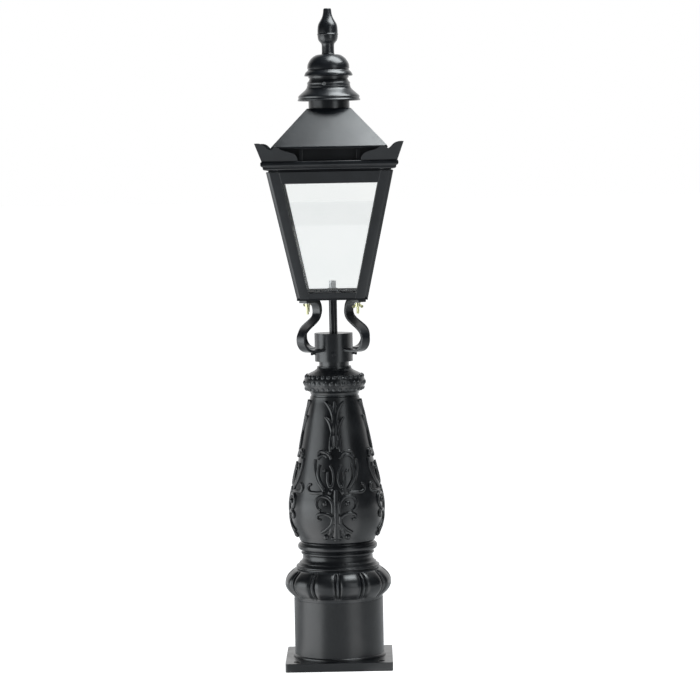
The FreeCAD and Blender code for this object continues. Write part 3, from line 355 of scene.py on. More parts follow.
def aged_paint(name, age, relief, depth, metallic=0.0, coat=0.0, coat_roughness=0.1, ior=1.5):
    """A painted or bare metal from the two groups above."""
    material, tree, shader = new_material(name)
    colour = place_group(tree, PAINT_AGE, age)
    tree.links.new(colour.outputs["Color"], shader.inputs["Base Color"])
    tree.links.new(colour.outputs["Roughness"], shader.inputs["Roughness"])
    height = place_group(tree, SURFACE_RELIEF, relief)
    bump = add_node(tree, "ShaderNodeBump", Strength=1.0, Distance=depth * MM)
    tree.links.new(height.outputs["Height"], bump.inputs["Height"])
    tree.links.new(bump.outputs["Normal"], shader.inputs["Normal"])
    shader.inputs["Metallic"].default_value = metallic
    shader.inputs["Coat Weight"].default_value = coat
    shader.inputs["Coat Roughness"].default_value = coat_roughness
    shader.inputs["IOR"].default_value = ior
    return material


# The black gloss coat that all painted pieces share.
BLACK_COAT = {"coat": 0.38, "coat_roughness": 0.25, "ior": 1.55}
IRON_AGE = {
    "Paint": (0.0055, 0.0065, 0.0082, 1), "Light Paint": (0.0095, 0.011, 0.0132, 1),
    "Rubbed": (0.10, 0.11, 0.12, 1), "Dust": (0.12, 0.12, 0.115, 1), "Wear": 0.3,
    "Dusty": 0.08, "Gloss Low": 0.30, "Gloss High": 0.38}
IRON_RELIEF = {"Lump Size": 24, "Pit Size": 260, "Lumps": 1.0, "Pits": 0.02}
IRON_DEPTH = 0.45
PLATED_RELIEF = {"Lump Size": 300, "Pit Size": 1500, "Lumps": 0.5, "Pits": 0.5}
PLATED_DEPTH = 0.05

CAST_IRON = aged_paint("black_cast_iron", IRON_AGE, IRON_RELIEF, IRON_DEPTH, **BLACK_COAT)
# The plinth and foot plate have large plain flats, whose paint isn't rubbed through.
SMOOTH_IRON = aged_paint("smooth_black_iron", IRON_AGE | {"Wear": 0.0}, IRON_RELIEF,
                         IRON_DEPTH, **BLACK_COAT)
SHEET_STEEL = aged_paint(
    "black_sheet_steel",
    {"Paint": (0.0075, 0.009, 0.0115, 1), "Light Paint": (0.0115, 0.0135, 0.017, 1),
     "Rubbed": (0.09, 0.10, 0.11, 1), "Dust": (0.12, 0.12, 0.12, 1), "Wear": 0.0,
     "Dusty": 0.05, "Gloss Low": 0.28, "Gloss High": 0.34},
    {"Lump Size": 20, "Pit Size": 260, "Lumps": 1.0, "Pits": 0.015}, 0.3, **BLACK_COAT)
ZINC = aged_paint(
    "zinc_plated_steel",
    {"Paint": (0.55, 0.56, 0.57, 1), "Light Paint": (0.72, 0.73, 0.74, 1),
     "Rubbed": (0.85, 0.85, 0.86, 1), "Dust": (0.5, 0.5, 0.48, 1), "Wear": 0.0,
     "Dusty": 0.1, "Gloss Low": 0.28, "Gloss High": 0.45},
    PLATED_RELIEF, PLATED_DEPTH, metallic=1.0)
BRASS = aged_paint(
    "pale_brass",
    {"Paint": (0.74, 0.73, 0.42, 1), "Light Paint": (0.84, 0.83, 0.56, 1),
     "Rubbed": (0.92, 0.90, 0.70, 1), "Dust": (0.5, 0.48, 0.34, 1), "Wear": 0.0,
     "Dusty": 0.1, "Gloss Low": 0.25, "Gloss High": 0.42},
    PLATED_RELIEF, PLATED_DEPTH, metallic=1.0)


def make_glass():
    """Clear pane; a Light Path lets the lamps through it."""
    material, tree, shader = new_material("clear_pane_glass")
    shader.inputs["Metallic"].default_value = 0.0
    shader.inputs["Transmission Weight"].default_value = 1.0
    shader.inputs["IOR"].default_value = 1.45
    place = add_node(tree, "ShaderNodeTexCoord")
    smear = noise(tree, place.outputs["Object"], 9, 3)
    tree.links.new(remap(tree, smear, 0.45, 0.8, 0.0, 0.03), shader.inputs["Roughness"])
    tint = add_node(tree, "ShaderNodeMix", data_type="RGBA")
    tint.inputs[6].default_value = (0.985, 0.995, 0.99, 1)
    tint.inputs[7].default_value = (0.965, 0.98, 0.975, 1)
    tree.links.new(remap(tree, smear, 0.4, 0.7), tint.inputs[0])
    tree.links.new(tint.outputs[2], shader.inputs["Base Color"])
    clear = add_node(tree, "ShaderNodeBsdfTransparent")
    path = add_node(tree, "ShaderNodeLightPath")
    mix = add_node(tree, "ShaderNodeMixShader")
    tree.links.new(path.outputs["Is Shadow Ray"], mix.inputs[0])
    tree.links.new(shader.outputs[0], mix.inputs[1])
    tree.links.new(clear.outputs[0], mix.inputs[2])
    tree.links.new(mix.outputs[0], tree.nodes["Material Output"].inputs["Surface"])
    return material


GLASS = make_glass()
FINISHES = {"cast_iron": CAST_IRON, "painted_steel": SHEET_STEEL, "clear_glass": GLASS,
            "zinc_steel": ZINC, "brass": BRASS}
# Each node's slot, as the record gives it.
SLOTS = {part["node"]: part["material_slot"] for part in frame["record"]["subparts"]}


def dress(thing, slot, body, *stands_for, finish=None):
    """Gives a new piece its body and its finish, which is the slot's own unless another is named,
    and hides the nodes that it stands for."""
    thing.data.materials.clear()
    thing.data.materials.append(finish or FINISHES[slot])
    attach(thing, body)
    if stands_for:
        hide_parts(*stands_for)
    return thing


def finish_nodes():
    """The solids that stay in sight take the finish of their slot in the record."""
    for name, node in frame["nodes"].items():
        finish = FINISHES[SLOTS[name]]
        if not node.material_slots:
            node.data.materials.append(finish)
        for material_slot in node.material_slots:
            material_slot.material = finish


# ---------------------------------------------------------------- post casting

FOOT = [(94, 213), (93.6, 214), (89.4, 214.8), (89.2, 216.4)]
FOOT_BEAD = arc((89.2, 216.4), (88.4, 222.6), 3.3, 7)
COVE = [(88.4, 222.6), (85.2, 226.6), (84.8, 228.2)] + arc((84.8, 228.2), (77.4, 242), -2.6, 6)
THIN_RING = [(77.4, 242), (76.4, 244.6), (77.4, 246.2)] + arc((77.4, 246.2), (78.4, 252), 2.9, 7)
FAT_RING = [(78.4, 252), (77.8, 253.6), (79.6, 255.6)] + arc((79.6, 255.6), (80.2, 271.6), 8.0, 12)
BELLY = ([(80.2, 271.6), (79.6, 273.4), (81.4, 275.2), (83.4, 277.4), (84.2, 281.4)]
         + arc((84.2, 281.4), (102, 341), 5.2, 9) + [(102, 341)]
         + arc((102, 341), (98, 381), 1.9, 6)
         + [(98, 381), (93.5, 408), (87.7, 435), (82, 461), (76.5, 488), (71, 514), (65.5, 541),
            (60, 567), (56.8, 581), (54.6, 590), (54.2, 594.5), (52.4, 596), (52, 599)])
CASTING_OUTSIDE = FOOT + FOOT_BEAD + COVE + THIN_RING + FAT_RING + BELLY
CASTING_INSIDE = [(33, 599), (33, 559), (28, 559), (28, 549), (46, 539), (89, 374),
                  (70.5, 276), (70.5, 213)]


def casting_radius(level):
    """The casting's outside radius at a level of its belly."""
    for (r0, z0), (r1, z1) in zip(BELLY, BELLY[1:]):
        if z0 <= level <= z1:
            return r0 + (r1 - r0) * (level - z0) / (z1 - z0)
    return BELLY[-1][0] if level > BELLY[-1][1] else BELLY[0][0]


# Relief of one panel's right half: (across, level, half width) along each strand.
PLUME = [
    [(3, 540, 2.6), (5, 560, 3.2), (11, 575, 3.4), (21, 587, 1.8)],
    [(5, 512, 2.6), (8, 530, 3.2), (13, 544, 3.2), (21, 554, 1.6)],
    [(5, 484, 2.4), (8, 498, 3.6), (8, 508, 3.4), (6, 515, 2.0)],
    [(11, 478, 2.2), (11, 496, 2.2), (7, 520, 2.2), (4, 545, 2.0)],
]
HORNS = [
    [(9, 462, 2.2), (13, 471, 2.6), (22, 477, 2.8), (34, 478, 2.6), (41, 466, 2.0)],
    [(18, 466, 1.8), (23, 471, 2.2), (33, 469, 2.2), (40, 462, 1.8)],
]
LYRE = [
    [(46, 462, 2.0), (48, 446, 2.6), (46, 431, 2.8), (40, 413, 2.8), (32, 402, 2.6),
     (26, 393, 2.2)],
    [(35, 451, 1.8), (39, 439, 2.2), (38, 422, 2.2), (31, 407, 2.2), (25, 398, 2.0)],
    [(17, 436, 2.2), (17, 412, 2.4), (12, 403, 2.4), (7, 409, 2.2), (6, 434, 2.2),
     (12, 450, 2.2)],
    [(9, 390, 6.0), (16, 393, 6.0)],
]
SIDE_CURLS = [
    [(28, 391, 2.4), (49, 390, 2.8), (62, 392, 2.8), (66, 400, 2.6), (61, 407, 2.4),
     (56, 408, 1.8)],
]
VOLUTES = [
    [(8, 346, 2.4), (8, 364, 2.8), (13, 375, 3.0), (25, 382, 3.0), (39, 379, 3.0),
     (45, 369, 2.8), (42, 356, 2.4), (35, 351, 2.0)],
    [(10, 337, 2.4), (18, 343, 2.8), (33, 345, 2.8), (43, 339, 2.6), (40, 332, 2.2),
     (34, 332, 1.8)],
]
LEGS = [
    [(9, 340, 2.4), (10, 324, 2.8), (20, 312, 2.8), (35, 302, 2.2)],
    [(7, 322, 2.4), (12, 309, 2.6), (16, 298, 2.6)],
]
MIDDLE = [
    [(0, 488, 3.2), (0, 530, 3.6), (0, 562, 4.4), (0, 588, 2.0)],
    [(0, 396, 4.0), (0, 360, 4.6), (0, 322, 4.6)],
    [(0, 324, 3.6), (0, 308, 5.6), (0, 294, 7.4), (0, 285, 6.0)],
]
BALLS = [(25, 438, 4.2), (25, 367, 6.2), (24, 293, 7.0), (9, 290, 4.0)]
# How far the relief stands out, and how much wider it is than the drawn strands.
PROUD = 4.6
BOLD = 1.55
# How much of a ball's radius is sunk, and the grain of the skin over strands and balls.
BALL_SINK = 0.75
SKIN_GRAIN = 0.9


def on_casting(across, level, lift=0.0):
    """A point of the drawing, wrapped round the casting's front."""
    radius = casting_radius(level)
    turn = across / radius
    return Vector(((radius + lift) * math.sin(turn), -(radius + lift) * math.cos(turn),
                   level)) * MM


def draw_strand(curve, points, side):
    """One strand of the relief, as a tapered tube that is sunk to stand equally proud."""
    line = curve.splines.new("BEZIER")
    line.bezier_points.add(len(points) - 1)
    for knot, (across, level, width) in zip(line.bezier_points, points):
        knot.co = on_casting(across * side, level, PROUD - width * BOLD)
        knot.handle_left_type = knot.handle_right_type = "AUTO"
        knot.radius = width * BOLD
    line.resolution_u = 10


def relief_panel():
    """The scrolls, plume and volutes of the front, made one skin."""
    curve = bpy.data.curves.new("scroll_lines", "CURVE")
    curve.dimensions = "3D"
    curve.bevel_depth = MM
    curve.bevel_resolution = 3
    curve.use_fill_caps = True
    for side in (1, -1):
        for group in (PLUME, HORNS, LYRE, SIDE_CURLS, VOLUTES, LEGS):
            for strand in group:
                draw_strand(curve, strand, side)
    for strand in MIDDLE:
        draw_strand(curve, strand, 1)
    lines = bpy.data.objects.new("scroll_lines", curve)
    bpy.context.scene.collection.objects.link(lines)
    pick(lines)
    bpy.ops.object.convert(target="MESH")
    parts = [bpy.context.object]
    for across, level, size in BALLS:
        for side in (1, -1):
            deselect()
            bpy.ops.mesh.primitive_ico_sphere_add(
                subdivisions=3, radius=size * MM,
                location=on_casting(across * side, level, PROUD - size * BALL_SINK))
            parts.append(bpy.context.object)
    panel = placed(join(parts, "scroll_panel_front"))
    remesh = panel.modifiers.new("skin", "REMESH")
    remesh.mode = "VOXEL"
    remesh.voxel_size = SKIN_GRAIN * MM
    smooth = panel.modifiers.new("soften", "SMOOTH")
    smooth.factor, smooth.iterations = 0.5, 2
    apply_all(panel)
    bpy.ops.object.shade_smooth()
    return panel


def build_casting():
    body = settle(turn_shape(CASTING_OUTSIDE + CASTING_INSIDE, 128), 28)
    dress(named(body, "casting_body"), "cast_iron", POST, "post_casting")
    front = relief_panel()
    for index, side in enumerate(("right", "back", "left")):
        panel = copy_turned(front, QUARTER * (index + 1), f"scroll_panel_{side}")
        dress(panel, "cast_iron", POST)
    dress(front, "cast_iron", POST)


# ---------------------------------------------------------------- lobed ring

LOBE_ANGLE = 30
RING_INSIDE = 96
RING = ([(97.6, 147), (98.2, 151), (98.6, 153.4)] + arc((98.6, 153.4), (97, 213), 20.4, 18)
        + [(97, 213), (80, 213), (80, 147)])
# How far the surface stands back at each degree from the middle of a dart.
GROOVE = (1.0, 1.7, 6.4, 4.6, 2.4, 1.3, 0.7, 0.3)
RING_LOW, RING_HIGH = 154, 212.5


def select_column(mesh, wanted):
    """Selects the points of the given numbers and goes back to edit mode."""
    flags = [False] * len(mesh.vertices)
    bpy.ops.object.mode_set(mode="OBJECT")
    for kind in (mesh.edges, mesh.polygons):
        kind.foreach_set("select", [False] * len(kind))
    for index in wanted:
        flags[index] = True
    mesh.vertices.foreach_set("select", flags)
    bpy.ops.object.mode_set(mode="EDIT")


def groove_columns(mesh):
    """The bulge's points, gathered by level and by degrees from the nearest dart."""
    columns = {}
    for point in mesh.vertices:
        radius = math.hypot(point.co.x, point.co.y) / MM
        level = point.co.z / MM
        degrees = math.degrees(math.atan2(point.co.y, point.co.x)) % LOBE_ANGLE
        step = round(min(degrees, LOBE_ANGLE - degrees))
        if radius > RING_INSIDE and RING_LOW < level < RING_HIGH and step < len(GROOVE):
            columns.setdefault((round(level, 2), step, round(radius, 2)), []).append(point.index)
    return columns


def build_lobed_ring():
    """A squashed bulge that is pushed in along twelve pairs of grooves, a dart between."""
    ring = placed(turn_shape(RING, 360))
    for (level, step, radius), wanted in groove_columns(ring.data).items():
        share = (level - RING_LOW) / (RING_HIGH - RING_LOW)
        ends = 1 - abs(2 * share - 1) ** 3
        narrow = 1.0 if step > 1 else 0.55 + 0.45 * ends
        depth = GROOVE[step] * min(1.0, 0.25 + 2.2 * ends) / narrow
        select_column(ring.data, wanted)
        ratio = (radius - depth) / radius
        bpy.ops.transform.resize(value=(ratio, ratio, 1), center_override=(0, 0, level * MM))
    end_edit()
    dress(named(settle(ring, 50), "lobed_ring"), "cast_iron", POST, "gadroon_ring")


def build_foot():
    """The plinth with the fillet of paint and weld round its foot, and the foot plate."""
    outline = ([(98.5, 19), (102, 19)] + arc((102, 19), (98.8, 25), 1.2, 5)
               + [(98.8, 25), (98.5, 30), (98.5, 147), (90.5, 147), (90.5, 19)])
    plinth = settle(turn_shape(outline, 160), 30)
    dress(named(plinth, "round_plinth"), "cast_iron", POST, "plinth_tube", finish=SMOOTH_IRON)
    dress(filed_copy("base_plate", "foot_plate", 2.0), "cast_iron", POST, "base_plate",
          finish=SMOOTH_IRON)


# ---------------------------------------------------------------- beaded collar

COLLAR = [(52, 599), (53.4, 600.4), (53.6, 603), (55.2, 605), (59, 607), (62.4, 610),
          (65, 614), (66.8, 618.6), (67.6, 623), (67.8, 627), (67.2, 631), (65.8, 635),
          (63.6, 639), (60, 643), (54, 646.6), (44.6, 651), (39, 655), (37.8, 657.4),
          (37.4, 661), (33, 661), (33, 599)]
# How much of a bead's radius is sunk into the collar.
BEAD_SINK = 0.42
# Each row of cast beads: level, radius, number, phase, height against width, lean.
BEAD_ROWS = [(613.4, 5.4, 31, 0.0, 1.0, 14), (625.4, 6.4, 31, 0.5, 0.95, 0),
             (638.2, 5.6, 31, 0.0, 1.05, -16)]


def collar_radius(level):
    """The collar's outside radius at a level."""
    for (r0, z0), (r1, z1) in zip(COLLAR, COLLAR[1:]):
        if z0 <= level <= z1:
            return r0 + (r1 - r0) * (level - z0) / (z1 - z0)
    return COLLAR[0][0]


def bead_row(level, size, count, phase, tall, lean):
    """One row of cast beads, each a few faces, alternately a little larger and smaller."""
    radius = collar_radius(level) - size * BEAD_SINK
    beads = []
    for index in range(count):
        turn = (index + phase) / count * math.tau
        swell = 1.0 + 0.09 * math.sin(index * 2.4)
        deselect()
        bpy.ops.mesh.primitive_uv_sphere_add(
            segments=8, ring_count=6, radius=size * swell * MM,
            location=(radius * math.sin(turn) * MM, -radius * math.cos(turn) * MM, level * MM),
            rotation=(0, math.radians(lean), turn))
        bead = bpy.context.object
        bead.scale = (0.92, 0.8, tall)
        beads.append(placed(bead))
    return beads


def build_collar():
    parts = [placed(turn_shape(COLLAR, 120))]
    for row in BEAD_ROWS:
        parts += bead_row(*row)
    collar = settle(join(parts, "beaded_collar"), 50)
    dress(collar, "cast_iron", POST, "bead_collar")


# ---------------------------------------------------------------- bracket and frame

FILED_ON_POST = {
    "spigot_tube": 0.4, "frog_socket": 1.2, "floor_lock_nut": 0.5, "lantern_floor": 0.5,
    "roof_rests": 0.6, "hinge_fixed_leaf": 0.4, "hinge_pin": 0.3, "stud_washers": 0.2}
FILED_ON_ROOF = {"cap_screws": 0.4, "hinge_roof_leaf": 0.4}
CORNERS = ("front_right", "back_right", "back_left", "front_left")
SIDES = ("front", "right", "back", "left")


def build_plain_pieces():
    """Bars, sheets and fasteners whose solids already have the right form."""
    pieces = [(node, edge, POST) for node, edge in FILED_ON_POST.items()]
    pieces += [(node, edge, ROOF) for node, edge in FILED_ON_ROOF.items()]
    for corner in CORNERS:
        pieces += [(f"stile_{corner}", 0.9, POST),
                   (f"wing_nut_{corner}", 0.5, f"wing_nut_{corner}")]
    for side in SIDES:
        pieces.append((f"head_rail_{side}", 0.9, POST))
    for node, edge, body in pieces:
        dress(filed_copy(node, f"{node}_filed", edge), SLOTS[node], body, node)
    dress(filed_copy("lantern_studs", "brass_studs", 0.3), "zinc_steel", POST, "lantern_studs",
          finish=BRASS)
    dress(filed_copy("socket_set_screws", "painted_set_screws", 0.5), "zinc_steel", POST,
          "socket_set_screws", finish=SHEET_STEEL)


ARM_WIDTH, ARM_THICK = 24, 6
# An arm's centre line from its flange to the socket: reach from the axis and level.
ARM = [(96, 806.5), (91.6, 806.5), (78, 806.5), (65, 806.3), (57.6, 803.6), (52.4, 798),
       (49.6, 790), (49.3, 780), (52.4, 771.4), (59.2, 764.2), (69, 757.2), (80, 750.4),
       (90, 743), (96.8, 734.2), (99.2, 723), (96.8, 712), (89.6, 703), (78, 697.8),
       (62, 696.4), (48, 697.4), (37, 698), (30, 698)]


def smooth_path(points, steps):
    """Points along a soft curve through all given points but the two end ones."""
    path = []
    for before, start, end, after in zip(points, points[1:], points[2:], points[3:]):
        for step in range(steps):
            t = step / steps
            path.append([0.5 * (2 * b + (c - a) * t + (2 * a - 5 * b + 4 * c - d) * t * t
                                + (3 * b - a - 3 * c + d) * t ** 3)
                         for a, b, c, d in zip(before, start, end, after)])
    return path + [list(points[-2])]


def arm_point(reach, level, side):
    """A point of the front right arm: side is its distance from the arm's middle line."""
    half_root = math.sqrt(0.5)
    return Vector(((reach + side) * half_root, (side - reach) * half_root, level)) * MM


def build_arms():
    """Four flat bars bent into a double curve on the corners' lines: an edge as long as
    the bar is wide is drawn out along the centre line and given its thickness."""
    path = smooth_path(ARM, 4)
    near, far = (arm_point(*path[0], side * ARM_WIDTH / 2) for side in (-1, 1))
    deselect()
    bpy.ops.mesh.primitive_plane_add(size=0.001, location=near)
    start_edit()
    bpy.ops.mesh.merge(type="CENTER")
    bpy.ops.mesh.extrude_region_move(TRANSFORM_OT_translate={"value": far - near})
    bpy.ops.mesh.select_all(action="SELECT")
    for here, there in zip(path, path[1:]):
        step = arm_point(*there, 0) - arm_point(*here, 0)
        bpy.ops.mesh.extrude_region_move(TRANSFORM_OT_translate={"value": step})
    bar = placed(end_edit())
    thick = bar.modifiers.new("thickness", "SOLIDIFY")
    thick.thickness, thick.offset, thick.use_even_offset = ARM_THICK * MM, 0, True
    apply_all(bar)
    bar = round_edges(settle(bar), 1.0, 2, 50)
    for index, corner in enumerate(CORNERS):
        arm = copy_turned(bar, QUARTER * index, f"bent_arm_{corner}")
        dress(settle(arm, 30), SLOTS[f"frog_arm_{corner}"], POST, f"frog_arm_{corner}")
    bpy.data.objects.remove(bar)


# The glazed sides: their foot's level and half width, and how fast they spread.
LANTERN_FOOT, FOOT_HALF, SPREAD = 812.5, 77.5, 0.2151
# Bars and panes: foot, top, front and back behind the frame's face, gap at each corner.
SILL = (812.5, 826, 1.0, 10, 27)
FOOT_BAR = (826, 829.4, 12.2, 15, 24)
PANE = (826.2, 1063.5, 9.0, 12, 12)


def lantern_half(level):
    """The lantern's half width at a level of its tapered sides."""
    return FOOT_HALF + SPREAD * (level - LANTERN_FOOT)


def leaning_slab(low, high, front, back, gap):
    """A bar or pane of the front side that leans with the frame: its foot is drawn out
    to its top and widened there."""
    foot, top = lantern_half(low), lantern_half(high)
    middle = (front + back) / 2
    deselect()
    bpy.ops.mesh.primitive_plane_add(size=1, location=(0, (middle - foot) * MM, low * MM))
    start_edit()
    bpy.ops.transform.resize(value=(2 * (foot - gap) * MM, (back - front) * MM, 1),
                             center_override=(0, (middle - foot) * MM, low * MM))
    bpy.ops.mesh.extrude_region_move(
        TRANSFORM_OT_translate={"value": (0, (foot - top) * MM, (high - low) * MM)})
    bpy.ops.transform.resize(value=((top - gap) / (foot - gap), 1, 1),
                             center_override=(0, (middle - top) * MM, high * MM))
    end_edit()
    return settle(bpy.context.object, FLAT)


def build_sills_and_panes():
    """Four low sills with a bead behind each pane's foot, and four clear panes."""
    sill = round_edges(leaning_slab(*SILL), 0.8)
    bead = round_edges(leaning_slab(*FOOT_BAR), 0.6)
    pane = leaning_slab(*PANE)
    for index, side in enumerate(SIDES):
        turn = QUARTER * index
        dress(settle(copy_turned(sill, turn, f"low_sill_{side}"), FLAT), "painted_steel", POST,
              f"sill_rail_{side}")
        dress(settle(copy_turned(pane, turn, f"clear_pane_{side}"), FLAT), "clear_glass", POST,
              f"pane_{side}")
    beads = [copy_turned(bead, QUARTER * index, f"foot_bead_{index}") for index in range(4)]
    beads = settle(join(beads, "glazing_beads"), FLAT)
    dress(beads, "painted_steel", POST, "pane_beads")
    for pattern in (sill, bead, pane):
        bpy.data.objects.remove(pattern)


CONDUIT = [(9, 717), (9, 824.5), (6.5, 824.5), (6.5, 717)]
CAP_NUT = [(12.4, 824.5), (13.3, 825.4), (13.3, 832.6), (12.4, 833.5), (8.1, 833.5),
           (8.1, 824.5)]
# The nipple: bore, thread's root and crest, foot, first thread, last thread and top.
NIPPLE_BORE, THREAD_ROOT, THREAD_CREST, THREAD_PITCH = 4.5, 7.2, 8.0, 1.6
NIPPLE_FOOT, THREAD_START, THREAD_END, NIPPLE_TOP = 821.5, 822.0, 848.6, 849.7


def build_conduit():
    """The tube for the wires and the six-sided nut that closes it round the nipple."""
    tube = settle(turn_shape(CONDUIT, 48), 30)
    dress(named(tube, "wire_conduit"), "painted_steel", POST, "conduit_tube")
    nut = round_edges(settle(turn_shape(CAP_NUT, 6)), 0.4)
    dress(named(settle(nut, FLAT), "six_sided_nut"), "painted_steel", POST, "conduit_cap_nut")


def build_nipple():
    """A threaded tube that stands in the lantern for the lamp's holder."""
    outline = [(NIPPLE_BORE, NIPPLE_FOOT), (THREAD_ROOT, NIPPLE_FOOT)]
    level = THREAD_START
    while level < THREAD_END:
        outline += [(THREAD_ROOT, level), (THREAD_CREST, level + 0.5),
                    (THREAD_CREST, level + 0.8), (THREAD_ROOT, level + 1.3)]
        level += THREAD_PITCH
    outline += [(THREAD_ROOT, NIPPLE_TOP - 0.4), (6.6, NIPPLE_TOP), (NIPPLE_BORE, NIPPLE_TOP)]
    dress(named(settle(turn_shape(outline, 40), 30), "threaded_nipple"), "zinc_steel", POST,
          "lamp_nipple")


# ---------------------------------------------------------------- cornice and leaves

CORNICE = [(132.3, 1090.5), (132.3, 1093.6), (138, 1094.2), (141.6, 1095.2), (143.6, 1097.2),
           (143.6, 1100.6), (145.2, 1101.8), (147.4, 1103.2), (148.5, 1105.4), (148.5, 1110.4),
           (147, 1112.8), (112, 1112.8), (112, 1090.5)]
LEAF_FOOT, LEAF_HALF, LEAF_SLOPE, LEAF_WALL = 1112.8, 145.5, 15 / 40, 2.5
# One wing of a leaf: reach back from the corner's foot and height; the first is the tip.
LEAF_WING = [(-15, 39.6), (-10, 40), (-5, 39.8), (-1, 38.8), (2.5, 37), (6, 34.2), (9, 31),
             (12, 28), (15, 26), (18, 25.2), (21, 25.8), (24, 28), (27, 30.2), (30.5, 31.6),
             (34, 31.2), (38, 28.4), (43, 25), (50, 22.4), (58, 20.6), (65, 18.6), (71, 15.2),
             (75, 10.6), (77.4, 5.2), (78, 0)]


def leaf_point(reach, height):
    """A point of a front wing, by its reach from the corner and its height."""
    along = LEAF_HALF - reach
    return Vector((along, -(LEAF_HALF + LEAF_SLOPE * height), LEAF_FOOT + height)) * MM


def draw_wing():
    """The wing's outline, drawn point by point, filled and given its thickness."""
    points = [leaf_point(reach, height) for reach, height in LEAF_WING]
    points.append(leaf_point(0, 0))
    deselect()
    bpy.ops.mesh.primitive_plane_add(size=0.001, location=points[0])
    start_edit()
    bpy.ops.mesh.merge(type="CENTER")
    for here, there in zip(points, points[1:]):
        bpy.ops.mesh.extrude_region_move(TRANSFORM_OT_translate={"value": there - here})
    bpy.ops.mesh.select_all(action="SELECT")
    bpy.ops.mesh.edge_face_add()
    bpy.ops.mesh.extrude_region_move(TRANSFORM_OT_translate={"value": (0, LEAF_WALL * MM, 0)})
    return placed(end_edit())


def build_leaves():
    """Two wings meet at the corner; the second is the first one mirrored across it."""
    first = draw_wing()
    second = first.copy()
    second.data = first.data.copy()
    bpy.context.scene.collection.objects.link(second)
    across = Matrix(((0, -1, 0, 0), (-1, 0, 0, 0), (0, 0, 1, 0), (0, 0, 0, 1)))
    second.data.transform(across)
    second.data.flip_normals()
    leaf = settle(join([first, second], "corner_leaf_front_right_cast"))
    leaf = settle(round_edges(leaf, 0.8, 2, 40), FLAT)
    for index, corner in enumerate(CORNERS[1:]):
        copy = copy_turned(leaf, QUARTER * (index + 1), f"corner_leaf_{corner}_cast")
        dress(copy, "painted_steel", POST, f"corner_leaf_{corner}")
    dress(leaf, "painted_steel", POST, "corner_leaf_front_right")


def build_cornice():
    dress(named(square_shape(CORNICE, 0.7), "moulded_cornice"), "painted_steel", POST, "cornice")


# ---------------------------------------------------------------- roof and chimney

ROOF_SHEET = [(104, 1138.8), (125.4, 1138.8), (126, 1139.6), (126, 1142.2), (124.8, 1144.4),
              (48.6, 1226.2), (47.4, 1226.8), (40, 1226.8), (40, 1223.8), (46.7, 1223.8),
              (104, 1162)]
FRIEZE = [(107, 1113.1), (107, 1138.8), (105, 1138.8), (105, 1113.1)]
NECK = [(45, 1226.8), (45, 1268.8), (43, 1268.8), (43, 1226.8)]
FLARE = [(67.2, 1243.8), (68.6, 1244.6), (68.8, 1246.2), (67.2, 1248), (66.8, 1249.4),
         (67.2, 1251), (67.4, 1253), (66.4, 1255), (62.6, 1258.6), (58, 1262.6), (53.2, 1266.8),
         (50.2, 1270), (49.4, 1271.8), (43, 1271.8), (43, 1268.8), (47, 1267), (64.6, 1251),
         (64.8, 1243.8)]
BAND = [(48, 1271.8), (48, 1275.6), (46.9, 1276.8), (46.6, 1279.8), (46.8, 1281.4), (47.4, 1282.6),
        (46.4, 1284.4), (44.6, 1286), (43.2, 1288.6), (42, 1291), (42, 1293.8), (38.6, 1293.8),
        (38.6, 1271.8)]
DOME = [(43.8, 1293.8), (44.2, 1296.8), (51.6, 1297.8), (52.9, 1298.8), (53, 1300.2),
        (51.8, 1303.2), (50.2, 1306), (47.8, 1308.2), (46.2, 1309.6), (45.2, 1311), (45, 1313),
        (46.2, 1314.6), (46.2, 1316.4), (45.8, 1320), (45.2, 1323.4), (43.4, 1327.8), (40.8, 1332),
        (37.4, 1336.4), (32.4, 1340.6), (27, 1343.6), (22, 1344.8), (12, 1344.8), (12, 1341.8),
        (30, 1338.4), (42.2, 1322), (43, 1310), (43, 1293.8)]
FINIAL = [(14.2, 1344.8), (14.2, 1346.6), (13.6, 1347.6), (13.5, 1362), (13.8, 1366),
          (14.6, 1368.6), (16.8, 1371.2), (19.8, 1374.6), (21.4, 1378.6), (22, 1383),
          (22.2, 1386.6), (23.1, 1388.2), (23.1, 1389.4), (22.1, 1390.8), (22.2, 1396),
          (22, 1400), (21.4, 1406), (20.2, 1411), (17.8, 1415.4), (15.2, 1419.6),
          (12.9, 1423.8), (11.2, 1428), (9.9, 1432.4), (9.2, 1437), (8.8, 1441.4), (8.2, 1444.2),
          (7, 1445.3), (0, 1445.3)]


def build_roof():
    """The pyramid roof, its frieze, and the turned stack of caps above it."""
    roof = square_shape(ROOF_SHEET, 0.8)
    dress(named(roof, "pyramid_roof"), "painted_steel", ROOF, "roof_shell")
    dress(named(square_shape(FRIEZE, 0.3), "dark_frieze"), "painted_steel", ROOF, "vent_frieze")
    stack = (("round_neck", NECK, "chimney_neck", True), ("flared_cap", FLARE, "lower_cap", True),
             ("waisted_band", BAND, "crown_band", True), ("domed_cap", DOME, "upper_cap", True),
             ("turned_finial", FINIAL, "finial", False))
    for name, outline, node, hollow in stack:
        piece = settle(turn_shape(outline, 96, hollow), 26)
        dress(named(piece, name), "painted_steel", ROOF, node)


# ---------------------------------------------------------------- studio

# The photograph's camera: lens, distance, height, and degrees of bearing, aim and roll.
LENS, CAMERA_AWAY, CAMERA_HEIGHT = 154.3, 6.6, 1.1353
CAMERA_BEARING, CAMERA_PAN, CAMERA_DOWN, CAMERA_ROLL = 0.7, 0.39, 3.814, -1.1


